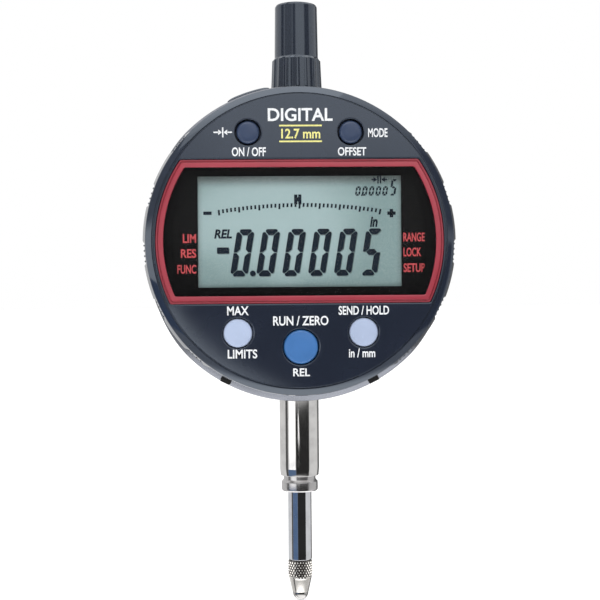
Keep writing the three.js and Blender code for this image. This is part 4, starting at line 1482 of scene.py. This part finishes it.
# %% [markdown]
# ## Stage, light and camera
# Bright metal is a picture of its room, so the room matters as much as the steel. The room here is a
# world of soft panels, each laid over the last: a tall bright one at the front left, a dark gap behind
# the camera with a softbox over it, dark edges that outline the steel, a blue panel low at the left,
# and a faint arc that the glossy face mirrors. The camera itself sees only plain white.

# %% Room
world = bpy.data.worlds.new("room")
bpy.context.scene.world = world
world.use_nodes = True
room = Tree(world.node_tree)
backdrop = next(n for n in world.node_tree.nodes if n.type == "BACKGROUND")
direction = room.node("ShaderNodeTexCoord", output="Generated")
toward = [room.node("ShaderNodeSeparateXYZ", None, {0: direction}, output=i) for i in range(3)]
around = toward[0].apply("ARCTAN2", toward[1] * -1) * (180 / math.pi)
up = toward[2].apply("ARCSINE") * (180 / math.pi)


def band(angle, start, end, soft=3):
    """1 between two angles in degrees, and 0 outside them."""
    return angle.between(start - soft, start + soft) * (1 - angle.between(end - soft, end + soft))


def laid(light, brightness, where):
    """A panel of another brightness laid over the room."""
    return light + (brightness - light) * where


light = laid(up.between(38, 52, 0.8, 1.5), 0.6, 1 - up.between(-28, -24))
light = laid(light, 2.2, 1 - up.between(-48, -38))
tall = up.between(5, 11, 1.7, 0.35)
light = laid(light, tall, band(around, -65, -24, 2) * band(up, -9.35, 38, 0.15))
light = laid(light, 0.03, band(around, -23, 58, 2) * band(up, -26, 2, 1.5))
above = up.between(2, 9) * (1 - up.between(28, 40))
light = laid(light, 0.12, band(around, -19, 72) * above)
light = laid(light, 1.1, band(around, -5, 44, 4) * above)
light = laid(light, 0.1, band(around, -89, -72, 1.5))
light = laid(light, 0.15, around.between(124, 136) * band(up, -36, 36))
from_arc = ((around - 2.2) ** 2 + (up - 3.4) ** 2) ** 0.5
crescent = from_arc.between(7.3, 7.6) * (1 - around.between(-1, 2.5)) * band(up, -4.3, 0, 0.2)
light = laid(light, 1.6, crescent * around.between(-10, -9))
grey = room.node("ShaderNodeCombineXYZ", None, {0: light, 1: light, 2: light})
under = band(around, -72, -23, 2) * band(up, -26, -9.35, 0.15)
paints = {0: under, 6: grey, 7: (0.12, 0.19, 0.33, 1)}
walls = room.node("ShaderNodeMix", {"data_type": "RGBA"}, paints, output=2)
seen = room.node("ShaderNodeLightPath", output=0)
paints = {0: seen, 6: walls, 7: (1, 1, 1, 1)}
room.plug(backdrop.inputs["Color"], room.node("ShaderNodeMix", {"data_type": "RGBA"}, paints, output=2))
backdrop.inputs["Strength"].default_value = 1.0

# %% Floor
floor_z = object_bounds()[0][2] * 1000 - 0.3
paper = Finish("paper", (0.92, 0.92, 0.92), 0.9, Emission_Color=(1, 1, 1, 1), Emission_Strength=0.35)
paper.bump(paper.grain(2, 3), 0.02)
floor = linked("floor", turned([(0, floor_z), (9000, floor_z)], 96).mesh("floor"))
floor.data.materials.append(paper.material)
floor.visible_glossy = False

# %% Lamp
lamp = bpy.data.lights.new("top_box", "AREA")
lamp.shape, lamp.size, lamp.size_y, lamp.energy = "RECTANGLE", 0.42, 0.3, 0.4
holder = linked("top_box", lamp)
holder.location = Vector((-90, -260, 420)) / 1000
aim = Vector((0, 0, 60)) / 1000
holder.rotation_euler = (aim - holder.location).to_track_quat("-Z", "Y").to_euler()
holder.visible_camera = False

# %% Camera
CAMERA_AWAY, CAMERA_TURN, CAMERA_Z = 250.0, -1.5, HEAD_Z - 11.25
CAMERA_AIM_X, CAMERA_ROLL = 0.37, -0.467
lens = bpy.data.cameras.new("camera")
lens.lens, lens.sensor_width = 73.5, 36
lens.clip_start, lens.clip_end = 0.01, 20
camera = linked("camera", lens)
turn = math.radians(CAMERA_TURN)
spot = Vector((CAMERA_AWAY * math.sin(turn), -CAMERA_AWAY * math.cos(turn), CAMERA_Z))
look = Vector((CAMERA_AIM_X, 0, CAMERA_Z)) - spot
camera.location = spot / 1000
roll = Matrix.Rotation(math.radians(CAMERA_ROLL), 4, "Z")
camera.rotation_euler = (look.to_track_quat("-Z", "Y").to_matrix().to_4x4() @ roll).to_euler()
bpy.context.scene.camera = camera
bpy.context.scene.view_settings.view_transform = "Standard"
